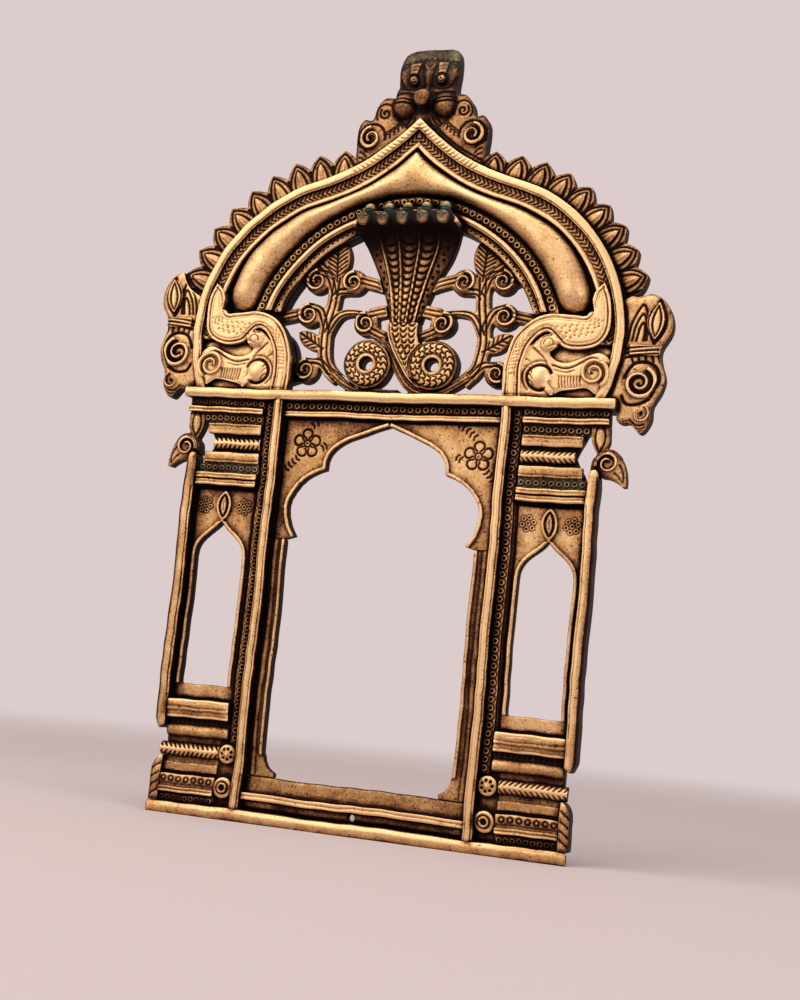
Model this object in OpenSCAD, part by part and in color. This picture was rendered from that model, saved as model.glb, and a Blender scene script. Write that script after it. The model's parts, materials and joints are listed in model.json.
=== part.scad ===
// Brass prabhavali: a free-standing shrine arch with a cusped doorway, two side niches,
// a pierced tympanum with a hooded naga among vine scrolls, and a lion mask at the apex.
// Millimetres. +Z is up, the front faces -Y, and the origin is under the middle of the base.
// A depth is measured back from the front plane of the posts.

/* [Frame] */
// Front to back depth of the lintel, the arch and the base rail
frame_depth = 11; // [9:0.5:16]
// Distance from the middle to the outer faces of the outer posts
half_width = 63.6; // [60:0.2:72]
// Height of the base rail
rail_h = 3.4; // [2.5:0.1:6]
// How much shorter the base rail is at the back, at each end
rail_draft = 3.6; // [1:0.2:5]
// Height of the lintel bar
lintel_h = 3; // [2:0.1:5]
// How far the lintel runs past the outer posts
lintel_overhang = 3; // [1:0.5:5]
// Width of an inner post
inner_post_w = 2.8; // [2:0.1:4]
// Width of an outer post
outer_post_w = 3.3; // [2.5:0.1:5]
// Drop from the wide rows of the capital to the head of an outer post
post_drop = 12.5; // [10:0.1:16]
// Radius of the pin hole in the sill
pin_hole_r = 1; // [0.6:0.1:1.2]

/* [Panels] */
// How far the recessed panels lie behind the front plane
panel_depth = 3.5; // [2.5:0.1:4.5]
// Thickness of the recessed panels
panel_t = 2.4; // [1.6:0.1:4]
// How far a raised rim stands out from its panel
rim_lift = 1; // [0.5:0.1:1.6]
// Width of a raised rim
rim_w = 1.1; // [0.8:0.1:1.6]
// Width of the ring-punched strip beside an inner post
bead_strip_w = 3.6; // [2.5:0.1:5]
// Height of a side niche panel
niche_h = 63.8; // [50:0.2:75]
// Width of a niche panel beside its opening
niche_jamb_w = 2.25; // [2:0.05:4]
// Height of the sill below a niche opening
niche_sill_h = 4.6; // [3:0.2:8]
// Height from the top of a niche panel down to the tip of its opening
niche_head_h = 10.4; // [8:0.2:16]

/* [Doorway] */
// Half width of the doorway
door_half_w = 29; // [27:0.1:30]
// Height of the sill panel above the base rail
sill_h = 9.9; // [8:0.1:14]
// Height of the thin bar across the sill
sill_bar_h = 2; // [1:0.1:3]
// Drop from the lintel to the apex of the cusped arch
door_apex_drop = 6.5; // [6:0.1:8]
// Drop from the lintel to the upper cusps
upper_cusp_drop = 20.4; // [18:0.2:24]
// Distance from the middle to the upper cusps
upper_cusp_x = 18.7; // [16:0.1:21]
// Drop from the lintel to the lower cusps
lower_cusp_drop = 40.3; // [36:0.2:46]
// How far a lower cusp stands into the doorway
lower_cusp_reach = 2.9; // [1.5:0.1:4]

/* [Mouldings] */
// Height of a beaded row
bead_row_h = 2.4; // [1.6:0.1:3.4]
// Height of a thin bar
thin_bar_h = 1.7; // [1.2:0.1:2.6]
// Height of a thick band
thick_bar_h = 3.2; // [2.4:0.1:4.2]
// Diameter of the roped mouldings
rope_d = 4; // [3:0.1:5]
// Diameter of the plain round moulding
torus_d = 4; // [3:0.1:5]
// Height of the low band under the rope
low_band_h = 2.6; // [2:0.1:3.4]
// Height of a narrow groove
quirk_h = 0.4; // [0.2:0.1:0.8]
// Height of a wide groove
scotia_h = 1.7; // [1:0.1:2.6]
// Radius of the lower boss
lower_boss_r = 3; // [2:0.1:3.6]
// Radius of the upper boss
upper_boss_r = 2.8; // [2:0.1:3.4]

/* [Arch] */
// Depth of the face of the arch plate, which the mouldings and the vines share
plate_depth = 6; // [5:0.1:7]
// Radius of the haunches of the arch
haunch_r = 48.3; // [46:0.1:50]
// How far the arch runs past the outer posts
arch_overhang = 3.2; // [2:0.1:5]
// Height of the haunch centres above the lintel
haunch_z = 18; // [16:0.2:20]
// Height of the apex above the lintel
apex_h = 84; // [80:0.5:90]
// Radius of the opening in the arch
opening_r = 42; // [40:0.2:43]
// Height of the centre of the opening above the lintel
opening_z = 10.5; // [9:0.1:12]
// Width of the flat outer rim
outer_rim_w = 2.7; // [2:0.1:3.4]
// Width of the chevron band
chevron_w = 2.7; // [2:0.1:3.4]
// Width of the fine ridge inside the chevron band
ridge_w = 1.5; // [1:0.1:2]
// Height of the smooth roll above the arch plate
roll_lift = 6; // [4:0.1:7]
// Width of the beaded band
bead_band_w = 2.8; // [2:0.1:3.4]
// Width of the bright inner rim
inner_rim_w = 1.8; // [1.2:0.1:2.4]
// Width of the dotted row at the edge of the opening
dotted_row_w = 2.4; // [1.6:0.1:3]
// Height of a petal above the outer rim
petal_h = 9.8; // [8:0.1:12]
// How much shorter the petals on the right are, as the hand-made piece has them
petal_trim = 1.6; // [0:0.1:3]
// Petals on each side
petal_count = 9; // [5:1:11]

/* [Figures] */
// Distance from the middle to the eye of a naga coil
coil_x = 10.4; // [9.8:0.1:11]
// Outer radius of a naga coil
coil_r = 7.6; // [6:0.1:8]
// Radius of the eye of a naga coil
coil_eye_r = 1.7; // [1:0.1:2.4]
// Radius of a naga head at the hood
head_r = 2; // [1.4:0.1:2.4]
// Distance between naga heads
head_pitch = 6.6; // [5:0.1:7]
// Radius of the eye disc of a vine scroll
scroll_r = 3.9; // [2.8:0.1:4.2]
// Width of a vine stem
stem_w = 4.2; // [2.4:0.1:5]
// How much the left corner scroll sits above the right one, as the hand-made piece has it
corner_stagger = 6.4; // [0:0.2:8]
// Radius of the ball under the lion mask
ball_r = 2.6; // [2:0.1:3.2]

/* [Hidden] */
$fn = 48;

// Finishes
polished = "#d8a650";
aged = "#a9793a";
shaded = "#7d5628";
verdigris = "#73907a";

// Rows of the plinth and the capital, from the bottom: height, projection and kind,
// and for the capital how far short of the outer post the row ends
plinth_rows = [
  [bead_row_h, 1.2, "flat"], [quirk_h, 0, "groove"],
  [thin_bar_h, 2.6, "flat"], [quirk_h, 0, "groove"],
  [thick_bar_h, 2, "flat"], [2 * quirk_h, 0, "groove"],
  [low_band_h, 1, "flat"], [scotia_h, 0.5, "flat"],
  [rope_d, 1, "rope"], [scotia_h, 0.5, "flat"],
  [torus_d, 1, "round"], [scotia_h, 0.5, "flat"],
  [thin_bar_h, 2.6, "flat"], [quirk_h, 0, "groove"],
  [thick_bar_h, 3, "flat"]];
capital_rows = [
  [quirk_h, 0, "groove", 0],
  [thin_bar_h, 2.6, "flat", 0], [quirk_h, 0, "groove", 0],
  [thin_bar_h, 2.8, "flat", 0], [quirk_h, 0, "groove", 0],
  [bead_row_h, 1.4, "flat", 0.5], [quirk_h, 0, "groove", 1],
  [thick_bar_h, 2, "flat", 1.8], [2 * quirk_h, 0, "groove", 3.2],
  [rope_d, 1, "rope", 4.4], [2 * quirk_h, 0, "groove", 3.4],
  [thick_bar_h, 2.2, "flat", 2.4], [quirk_h, 0, "groove", 1.6],
  [bead_row_h, 1.4, "flat", 0.7], [quirk_h, 0, "groove", 0.7],
  [thin_bar_h, 2.8, "wide", 0], [quirk_h, 0, "groove", 0],
  [bead_row_h, 1.4, "wide", 0]];
function row_top(rows, i) = i < 0 ? 0 : rows[i][0] + row_top(rows, i - 1);
function row_z(rows, i) = row_top(rows, i - 1);
function row_total(rows) = row_top(rows, len(rows) - 1);
function rope_row(rows) = [for (i = [0 : len(rows) - 1]) if (rows[i][2] == "rope") i][0];
function wide_row(rows) = [for (i = [0 : len(rows) - 1]) if (rows[i][2] == "wide") i][0];

// Heights
plinth_top = rail_h + row_total(plinth_rows);
niche_top = plinth_top + niche_h;
lintel_z = niche_top + row_total(capital_rows);
lintel_top = lintel_z + lintel_h;
capital_wide_z = niche_top + row_z(capital_rows, wide_row(capital_rows));
sill_top = rail_h + sill_h;
sill_strip_h = 3.1;
sill_bar_z = rail_h + sill_strip_h;
pin_hole_z = (rail_h + sill_bar_z) / 2;
post_foot_z = rail_h + row_z(plinth_rows, 10) + torus_d / 2;
leaf_top_z = rail_h + row_z(plinth_rows, 8);
post_top_z = capital_wide_z - post_drop;

// Distances from the middle
jamb_w = 4.8;
inner_post_x = door_half_w + jamb_w;
strip_x = inner_post_x + inner_post_w;
niche_x = strip_x + bead_strip_w;
outer_post_x = half_width - outer_post_w;
niche_mid = (niche_x + outer_post_x) / 2;
niche_open_w = outer_post_x - niche_mid - niche_jamb_w;
arch_x = half_width + arch_overhang;
haunch_x = arch_x - haunch_r;
rail_half = half_width - 0.3;
lintel_half = half_width + lintel_overhang;
rope_end = half_width - 1.8;

// Depths
back = frame_depth;
panel_back = panel_depth + panel_t;
rim_depth = panel_depth - rim_lift;
tympanum_back = plate_depth + 4;
crest_depth = 4.5;

// Curves
function lerp(a, b, t) = a + (b - a) * t;
function turn(c, r, a) = c + r * [cos(a), sin(a)];
function arc(c, r, a0, a1, n) = [for (i = [0 : n]) turn(c, r, lerp(a0, a1, i / n))];
function cubic(a, b, c, d, n) = [for (i = [0 : n]) let (t = i / n, s = 1 - t)
  s * s * s * a + 3 * s * s * t * b + 3 * s * t * t * c + t * t * t * d];
function quadratic(a, b, c, n) = [for (i = [0 : n]) let (t = i / n, s = 1 - t)
  s * s * a + 2 * s * t * b + t * t * c];
function knot(a, b, c, d, t) = 0.5 * (2 * b + (c - a) * t + (2 * a - 5 * b + 4 * c - d) * t * t
  + (3 * b - a - 3 * c + d) * t * t * t);
// A smooth curve through the points of an open path
function through(p, n = 4) = let (m = len(p) - 1) concat(
  [for (i = [0 : m - 1], k = [0 : n - 1])
    knot(p[max(i - 1, 0)], p[i], p[i + 1], p[min(i + 2, m)], k / n)], [p[m]]);
// A smooth curve through the points of a closed outline
function around(p, n = 4) = let (m = len(p)) [for (i = [0 : m - 1], k = [0 : n - 1])
  knot(p[(i + m - 1) % m], p[i], p[(i + 1) % m], p[(i + 2) % m], k / n)];
function spiral(c, r0, r1, a0, a1, n) = [for (i = [0 : n])
  turn(c, lerp(r0, r1, i / n), lerp(a0, a1, i / n))];
function reversed(p) = [for (i = [len(p) - 1 : -1 : 0]) p[i]];
function flipped(p) = [for (q = p) [-q[0], q[1]]];
function heading(p, i) = let (m = len(p) - 1, v = p[min(i + 1, m)] - p[max(i - 1, 0)]) v / norm(v);
// A copy of a path, moved sideways by a width that runs from w0 to w1
function beside(p, w0, w1) = let (m = len(p) - 1) [for (i = [0 : m]) let (h = heading(p, i))
  p[i] + lerp(w0, w1, i / m) * [-h[1], h[0]]];
function band_outline(p, w0, w1) = concat(beside(p, w0 / 2, w1 / 2), reversed(beside(p, -w0 / 2, -w1 / 2)));
module band(p, w0, w1) polygon(band_outline(p, w0, w1));

// The arch outline at a distance inside its edge, from the lintel to the apex
haunch = [haunch_x, lintel_top + haunch_z];
haunch_end = 73.8;
apex_pull = 20;
apex_slope = 1.3;
haunch_steps = 22;
apex_steps = 8;
function haunch_foot(o) = asin(-haunch_z / (haunch_r - o));
function arch_side(o, a0) = let (
  s = turn(haunch, haunch_r - o, haunch_end),
  lead = apex_pull * [-sin(haunch_end), cos(haunch_end)])
  concat(arc(haunch, haunch_r - o, a0, haunch_end, haunch_steps),
    [for (i = [1 : apex_steps])
      quadratic(s, s + lead, [0, lintel_top + apex_h - apex_slope * o], apex_steps)[i]]);
function arch_edge(o) = let (p = arch_side(o, haunch_foot(o))) concat(p, [for (i = [len(p) - 2 : -1 : 0])
  [-p[i][0], p[i][1]]]);
module arch_field(o) polygon(arch_edge(o));
opening = [0, lintel_top + opening_z];
module ring_2d(r0, r1) translate(opening) difference() {
  circle(r1, $fn = 96);
  circle(r0, $fn = 96);
}
// The part of the front above a height
module above(z) translate([-2 * half_width, z]) square([4 * half_width, 2 * half_width]);

// Placing
// A plate drawn in the front view, between two depths
module slab(d0, d1) translate([0, d1 - frame_depth / 2, 0]) rotate([90, 0, 0])
  linear_extrude(d1 - d0) children();
// A bar along X, drawn as its section in depth and height
module bar(x0, x1) translate([x0, -frame_depth / 2, 0]) rotate([90, 0, 90])
  linear_extrude(x1 - x0) children();
// A turned form about a line that runs from front to back, drawn as radius and depth
module turned(p, d) translate([p[0], d - frame_depth / 2, p[1]]) rotate([90, 0, 0])
  rotate_extrude() children();
module left() mirror([1, 0, 0]) children();
module span(x0, z0, x1, z1) translate([x0, z0]) square([x1 - x0, z1 - z0]);
module lens(length, width) {
  r = (length * length + width * width) / (4 * width);
  intersection() {
    translate([r - width / 2, 0]) circle(r, $fn = 64);
    translate([width / 2 - r, 0]) circle(r, $fn = 64);
  }
}
// A closed skin over rings of equal length, with flat ends
module skin(rings) {
  n = len(rings[0]);
  m = len(rings);
  polyhedron(
    points = [for (r = rings, p = r) p],
    faces = concat(
      [for (i = [0 : m - 2], k = [0 : n - 1]) [i * n + k, i * n + (k + 1) % n, (i + 1) * n + k]],
      [for (i = [0 : m - 2], k = [0 : n - 1])
        [i * n + (k + 1) % n, (i + 1) * n + (k + 1) % n, (i + 1) * n + k]],
      [for (k = [0 : n - 3]) [n - 1, k + 1, k]],
      [for (k = [0 : n - 3]) [m * n - 1, (m - 1) * n + k, (m - 1) * n + k + 1]]));
}
// A full, rounded band between two edges in the front view, rising from a flat back
fullness = 0.65;
function domed_ring(a, b, lift, d, n) = [for (k = [0 : n]) let (f = 180 * k / n,
  p = (a + b) / 2 - cos(f) * (b - a) / 2)
  [p[0], d - lift * pow(sin(f), fullness) - frame_depth / 2, p[1]]];

// Base, posts and lintel
module base_rail() color(polished) translate([0, -frame_depth / 2, 0]) linear_extrude(rail_h)
  polygon([[-rail_half, 0], [rail_half, 0], [rail_half - rail_draft, back], [rail_draft - rail_half, back]]);
module lintel() color(polished) slab(0, back) span(-lintel_half, lintel_z, lintel_half, lintel_top);
module inner_post() color(polished) slab(0, panel_back)
  span(inner_post_x, rail_h, strip_x, lintel_z);
post_round = 5;
module outer_post_2d() {
  w = outer_post_w;
  polygon(concat([[outer_post_x, post_foot_z + 1.5], [outer_post_x + w * 0.6, post_foot_z],
    [half_width, post_foot_z + 3]],
    quadratic([half_width, post_top_z - post_round], [half_width, post_top_z], [outer_post_x + w * 0.5,
      post_top_z], 5),
    quadratic([outer_post_x + w * 0.4, post_top_z], [outer_post_x, post_top_z], [outer_post_x,
      post_top_z - post_round / 2], 4)));
}
module outer_post() color(polished) slab(0, panel_back) outer_post_2d();

// Doorway
module sill_panel() color(aged) difference() {
  slab(panel_depth, panel_back) span(-inner_post_x, rail_h, inner_post_x, sill_top);
  turned([0, pin_hole_z], panel_back + 1) square([pin_hole_r, panel_t + 2]);
}
module sill_bar() color(polished) slab(rim_depth - 1, panel_depth)
  span(-inner_post_x, sill_bar_z, inner_post_x, sill_bar_z + sill_bar_h);
jamb_top = lintel_z - lower_cusp_drop - 1;
corner_w = 4;
corner_h = 6.2;
module jamb() color(aged) {
  slab(panel_depth, panel_back) polygon(concat(
    [[inner_post_x, sill_top], [door_half_w - corner_w, sill_top]],
    quadratic([door_half_w - corner_w, sill_top + 1.4], [door_half_w - 0.6, sill_top + 2.4],
      [door_half_w - 0.4, sill_top + corner_h], 5),
    [[door_half_w, sill_top + corner_h], [door_half_w, jamb_top], [inner_post_x, jamb_top]]));
  slab(rim_depth, panel_depth) span(door_half_w, sill_top + corner_h, door_half_w + rim_w, jamb_top);
}
// Half of the cusped edge, from the apex to the jamb
cusp_apex = [0, lintel_z - door_apex_drop];
upper_cusp = [upper_cusp_x, lintel_z - upper_cusp_drop];
lower_cusp = [door_half_w - lower_cusp_reach, lintel_z - lower_cusp_drop];
upper_foil = cubic(cusp_apex, cusp_apex + [9, -4], upper_cusp + [0.8, 7.9], upper_cusp, 9);
lower_foil = cubic(upper_cusp, upper_cusp + [7.3, -2.1], lower_cusp + [8.4, 10.8], lower_cusp, 10);
cusp_edge = concat(upper_foil, [for (i = [1 : len(lower_foil) - 1]) lower_foil[i]]);
fillet_z = lintel_z - bead_row_h - 0.6 - thin_bar_h;
module cusped_half() polygon(concat(cusp_edge,
  [[door_half_w, jamb_top], [inner_post_x, jamb_top], [inner_post_x, fillet_z], [0, fillet_z]]));
module cusped_arch() color(aged) slab(panel_depth, panel_back) {
  cusped_half();
  mirror([1, 0]) cusped_half();
}
module foil_rim(p) polygon(concat(p, reversed(beside(p, rim_w, rim_w))));
module cusp_rim_half() intersection() {
  union() {
    foil_rim(upper_foil);
    foil_rim(lower_foil);
  }
  cusped_half();
}
module cusp_rim() color(polished) slab(rim_depth, panel_depth) {
  cusp_rim_half();
  mirror([1, 0]) cusp_rim_half();
}
module lintel_fillet() color(polished) slab(rim_depth - 0.4, panel_back)
  span(-inner_post_x, fillet_z, inner_post_x, fillet_z + thin_bar_h);
module centre_bead_strip() color(aged) slab(rim_depth, panel_back)
  span(-inner_post_x, fillet_z + thin_bar_h, inner_post_x, lintel_z);
// The side strips run down to the upper bosses of the plinths
strip_foot_z = rail_h + row_z(plinth_rows, rope_row(plinth_rows)) + rope_d / 2 + upper_boss_r + 0.4;
strip_edge_w = 0.7;
module bead_strip() color(aged) {
  slab(rim_depth, panel_back) span(strip_x, strip_foot_z, niche_x - strip_edge_w, lintel_z);
  slab(panel_depth, panel_back) span(niche_x - strip_edge_w, strip_foot_z, niche_x, lintel_z);
}

// Side niches
niche_sill_z = plinth_top + niche_sill_h;
niche_tip_z = niche_top - niche_head_h;
niche_spring = 10.5;
niche_side = concat([[niche_open_w, niche_sill_z]],
  cubic([niche_open_w, niche_tip_z - niche_spring], [niche_open_w, niche_tip_z - 4.6],
    [2.4, niche_tip_z - 4.2], [0, niche_tip_z], 9));
module niche_opening() translate([niche_mid, 0])
  polygon(concat(niche_side, reversed(flipped(niche_side))));
module niche_panel() color(aged) slab(panel_depth, panel_back) difference() {
  span(niche_x, plinth_top, outer_post_x, niche_top);
  niche_opening();
}
finial_h = 9.4;
finial_w = 4.8;
module niche_rim_side() polygon(concat(niche_side, reversed(beside(niche_side, -rim_w, -rim_w))));
module niche_rim() color(polished) slab(rim_depth, panel_depth) {
  translate([niche_mid, 0]) intersection() {
    union() {
      niche_rim_side();
      mirror([1, 0]) niche_rim_side();
    }
    span(-2 * niche_open_w, niche_sill_z, 2 * niche_open_w, niche_tip_z);
  }
  // The finial: a leaf inside a pointed frame
  translate([niche_mid, niche_tip_z + finial_h / 2]) {
    difference() {
      lens(finial_h, finial_w);
      lens(finial_h - 2, finial_w - 1.6);
    }
    lens(finial_h - 3.4, finial_w - 3);
  }
}

// Plinths and capitals
module moulding(rows, z, i, d) {
  row = rows[i];
  z0 = z + row_z(rows, i);
  if (row[2] == "round")
    intersection() {
      translate([d, z0 + row[0] / 2]) circle(row[0] / 2);
      span(d - row[0], z0, d, z0 + row[0]);
    }
  else
    span(d - row[1], z0, d, z0 + row[0]);
}
boss_x = strip_x + lower_boss_r;
moulding_x = boss_x + lower_boss_r;
module plinth() color(polished) {
  slab(panel_depth, panel_back) {
    span(strip_x, rail_h, outer_post_x, strip_foot_z);
    span(niche_x, rail_h, outer_post_x, plinth_top);
  }
  // Below the rope the rows leave room for the bosses
  for (i = [0 : len(plinth_rows) - 1])
    if (plinth_rows[i][2] == "flat" || plinth_rows[i][2] == "round")
      bar(i > rope_row(plinth_rows) + 1 ? niche_x : moulding_x, outer_post_x)
        moulding(plinth_rows, rail_h, i, panel_depth);
}
module rope(rows, z, x0, x1) bar(x0, x1) intersection() {
  translate([panel_depth, z + row_z(rows, rope_row(rows)) + rope_d / 2]) circle(rope_d / 2);
  span(panel_depth - rope_d, 0, panel_depth, lintel_z);
}
module plinth_rope() color(polished) rope(plinth_rows, rail_h, moulding_x, rope_end);
module boss(r, z) turned([boss_x, z], panel_depth) intersection() {
  translate([0, -r]) circle(2 * r);
  square([r, r]);
}
module plinth_bosses() color(aged) {
  boss(lower_boss_r, rail_h + row_z(plinth_rows, 4) + thick_bar_h / 2 - 1);
  boss(upper_boss_r, rail_h + row_z(plinth_rows, rope_row(plinth_rows)) + rope_d / 2);
}
module plinth_leaf() color(aged) slab(1, panel_back) polygon(concat(
  [[outer_post_x, rail_h], [rail_half, rail_h]],
  quadratic([half_width - 0.2, leaf_top_z - 5], [half_width - 0.4, leaf_top_z - 1],
    [outer_post_x, leaf_top_z], 5)));
// The body of the capital is waisted at its rope and wide under the lintel
capital_end = half_width + 1.4;
function capital_row_end(i) = outer_post_x - capital_rows[i][3];
capital_waist = [for (i = [0 : wide_row(capital_rows) - 1])
  [capital_row_end(i), niche_top + row_z(capital_rows, i) + capital_rows[i][0] / 2]];
module capital() color(polished) {
  slab(panel_depth, panel_back) {
    polygon(concat([[niche_x, niche_top], [outer_post_x, niche_top]], capital_waist,
      [[capital_waist[len(capital_waist) - 1][0], lintel_z], [niche_x, lintel_z]]));
    span(niche_x, capital_wide_z, capital_end, lintel_z);
  }
  for (i = [0 : len(capital_rows) - 1]) {
    if (capital_rows[i][2] == "flat")
      bar(niche_x, capital_row_end(i)) moulding(capital_rows, niche_top, i, panel_depth);
    if (capital_rows[i][2] == "wide")
      bar(niche_x, capital_end) moulding(capital_rows, niche_top, i, panel_depth);
  }
}
module capital_rope() color(polished)
  rope(capital_rows, niche_top, niche_x, capital_row_end(rope_row(capital_rows)));
drop_h = 8.8;
drop_mid = outer_post_x + 2.3;
drop_w = 6.4;
bracket_face = 2;
module drop_leaf() color(aged) slab(bracket_face, panel_back) intersection() {
  translate([drop_mid, capital_wide_z]) lens(2 * drop_h, drop_w);
  span(outer_post_x - 0.5, 0, capital_end, capital_wide_z);
}
// A parrot-headed bracket on the head of the outer post
parrot_eye = [half_width + 1.4, post_top_z + 1.8];
module parrot_2d() difference() {
  union() {
    translate(parrot_eye) circle(4);
    polygon(concat(
      quadratic(parrot_eye + [3.4, 2], parrot_eye + [5.8, -1.6], parrot_eye + [5.8, -6.2], 5),
      quadratic(parrot_eye + [4.8, -6.4], parrot_eye + [2.2, -4.2], parrot_eye + [-0.4, -3.9], 4)));
    band(through([[outer_post_x + 1.6, post_top_z - 1], [half_width - 1.2, post_top_z + 2.2],
      parrot_eye + [-1, 0.4]]), 3, 4.4);
    band([parrot_eye + [-1.2, 1], [drop_mid + 0.4, capital_wide_z - drop_h + 2.2]], 3.6, 2.8);
  }
  outer_post_2d();
  translate([drop_mid, capital_wide_z]) lens(2 * drop_h, drop_w);
}
module parrot_bracket() color(polished) {
  slab(bracket_face, panel_back) parrot_2d();
  slab(bracket_face - 0.8, bracket_face) band(spiral(parrot_eye, 3.2, 0.9, 200, -300, 26), 1.1, 0.8);
}

// Arch
module arch_plate() color(shaded) slab(plate_depth, back) difference() {
  arch_field(0);
  translate(opening) circle(opening_r, $fn = 96);
  above_gap();
}
// The foot of the tympanum is open down to the lintel
module above_gap() translate([-opening_r * 0.9, lintel_top - 1]) square([opening_r * 1.8, opening_z + 1]);
module arch_strip(o0, o1) difference() {
  arch_field(o0);
  arch_field(o1);
}
chevron_o = outer_rim_w + chevron_w;
ridge_o = chevron_o + ridge_w;
roll_o = ridge_o + 1.6;
// Depths of the faces of the arch mouldings
outer_rim_face = 1;
chevron_face = 2.2;
ridge_face = 2;
bead_band_face = 3;
dotted_row_face = 4;
module arch_outer_rim() color(polished) slab(outer_rim_face, plate_depth) arch_strip(0, outer_rim_w);
module arch_chevron_band() color(aged) slab(chevron_face, plate_depth) intersection() {
  arch_strip(outer_rim_w, chevron_o);
  above(lintel_top + band_start);
}
module arch_ridge() color(polished) slab(ridge_face, plate_depth) intersection() {
  arch_strip(chevron_o, ridge_o);
  above(lintel_top + band_start);
}
// The smooth roll, wider at the apex, with rounded lower ends
inner_rim_r = opening_r + dotted_row_w;
bead_band_r = inner_rim_r + inner_rim_w + 0.4;
roll_r = bead_band_r + bead_band_w + 0.4;
roll_foot = 26.6;
// The chevron band and the ridge start above the animals
band_start = 15.4;
roll_start = asin((roll_foot - haunch_z) / (haunch_r - roll_o));
// Above the trunks the roll fills the arch up to the ridge
roll_apex_o = ridge_o + 0.4;
roll_ends = 4;
roll_spread = 6;
roll_outer = let (p = arch_side(roll_o, roll_start), q = arch_side(roll_apex_o, roll_start))
  [for (i = [0 : len(p) - 1]) lerp(p[i], q[i], max(0, min(1, (i - roll_ends) / roll_spread)))];
function roll_inner(p) = let (v = p - opening) opening + roll_r * v / norm(v);
function roll_ring(i) = let (p = roll_outer[i], q = roll_inner(p), e = min(1, (i + 0.4) / roll_ends),
  s = sqrt(1 - (1 - e) * (1 - e)), mid = (p + q) / 2)
  domed_ring(mid + (q - mid) * s, mid + (p - mid) * s, roll_lift * s, plate_depth, 10);
module arch_roll() color(polished) {
  n = len(roll_outer) - 1;
  rings = concat([for (i = [0 : n]) roll_ring(i)],
    [for (i = [n - 1 : -1 : 0]) [for (p = roll_ring(i)) [-p[0], p[1], p[2]]]]);
  skin(rings);
}
band_foot = lintel_top + 25;
module arch_bead_band() color(aged) slab(bead_band_face, plate_depth) intersection() {
  ring_2d(bead_band_r, bead_band_r + bead_band_w);
  above(band_foot);
}
module arch_inner_rim() color(polished) {
  slab(ridge_face, plate_depth) intersection() {
    ring_2d(inner_rim_r, inner_rim_r + inner_rim_w);
    above(band_foot);
  }
  slab(dotted_row_face, plate_depth) intersection() {
    ring_2d(opening_r, inner_rim_r);
    above(band_foot);
  }
}

// Makaras, drawn from the outer edge of the arch inwards and up from the lintel
makara_at = [arch_x, lintel_top];
function at(p) = [for (q = p) q + makara_at];
// The trunk: a broad S that rises beside the opening and ends in a tip at the rim
trunk_outer = through(at([[-33.2, 0], [-33.4, 9], [-31.4, 17], [-27, 22.2], [-20.8, 24.2], [-14.4, 23.6],
  [-10.8, 23.6], [-9.8, 27.4], [-8.8, 30.6], [-6.4, 33]]), 4);
trunk_inner = through(at([[-6.4, 33], [-4.6, 28.6], [-4, 23], [-4.6, 18], [-7.2, 15], [-12, 13.8],
  [-16.6, 14.6], [-18.8, 16.6], [-21.6, 19], [-24.6, 17.8], [-27.2, 13.4], [-28.2, 7.6], [-27.8, 0]]), 4);
makara_body = around(at([[-28.4, 1], [-28.6, 7], [-27.4, 12.8], [-24.4, 17], [-22, 18.4], [-19.6, 17.8],
  [-18.2, 16], [-18.6, 14.6], [-20.6, 13], [-18.6, 10.8], [-15.6, 10.2], [-11.6, 11.2], [-6.8, 13],
  [-3.6, 11.2], [-2.9, 7.4], [-3.6, 3.4], [-6, 1], [-9, 2.8], [-13, 2.6], [-17, 1.8], [-19, 0.5],
  [-25, 0.5]]), 4);
makara_tail = makara_at + [-7.4, 7.2];
makara_thigh = makara_at + [-22.8, 5.8];
makara_head = makara_at + [-21, 15.6];
makara_field = 3.6;
makara_face = 1.4;
trunk_face = 0.8;
trunk_seat = 2;
thigh_r = 3.5;
head_crown_r = 2.6;
limb_lift = 0.9;
// A low dome with a round edge, turned about a line from front to back
function cap_r(r, lift) = (r * r + lift * lift) / (2 * lift);
module dome_section(r, lift) intersection() {
  translate([0, lift - cap_r(r, lift)]) circle(cap_r(r, lift), $fn = 96);
  square([r, lift]);
}
// The trunk passes in front of the bands and stops at the roll
module trunk_2d() difference() {
  polygon(concat(trunk_outer, trunk_inner));
  intersection() {
    arch_field(roll_o - 0.1);
    above(lintel_top + roll_foot - 2);
  }
}
// Inside the rim at the foot of the arch, and inside the bands above their start
module makara_room() intersection() {
  union() {
    arch_field(ridge_o);
    difference() {
      arch_field(outer_rim_w);
      above(lintel_top + band_start - 0.1);
    }
  }
  above(lintel_top);
}
module makara() color(polished) {
  // The ground that carries the animal
  slab(makara_field, plate_depth) intersection() {
    union() {
      trunk_2d();
      polygon(makara_body);
      polygon(at([[-28, 0], [-3, 0], [-3, 14], [-7, 16], [-16, 16], [-26, 17]]));
    }
    makara_room();
  }
  slab(trunk_seat, makara_field) intersection() {
    trunk_2d();
    makara_room();
  }
  slab(trunk_face, trunk_seat) intersection() {
    trunk_2d();
    arch_field(outer_rim_w);
    above(lintel_top);
  }
  slab(makara_face, makara_field) intersection() {
    polygon(makara_body);
    makara_room();
  }
  // The curled tail, the haunch with its leg and foot, and the head with its snout
  slab(makara_face - limb_lift, makara_face) {
    intersection() {
      band(spiral(makara_tail, 4.2, 0.9, -60, 560, 40), 1.5, 1);
      polygon(makara_body);
    }
    translate(makara_thigh) band(through([[1.4, -1.6], [3.2, -3.6], [4.4, -4.8]]), 2.2, 1.6);
    translate(makara_head) band(through([[0, 0], [1.4, -0.2], [2.4, -0.6]]), 3.4, 2);
  }
  turned(makara_thigh, makara_face) dome_section(thigh_r, 1.4);
  turned(makara_head, makara_face) dome_section(head_crown_r, 1.3);
}

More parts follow.
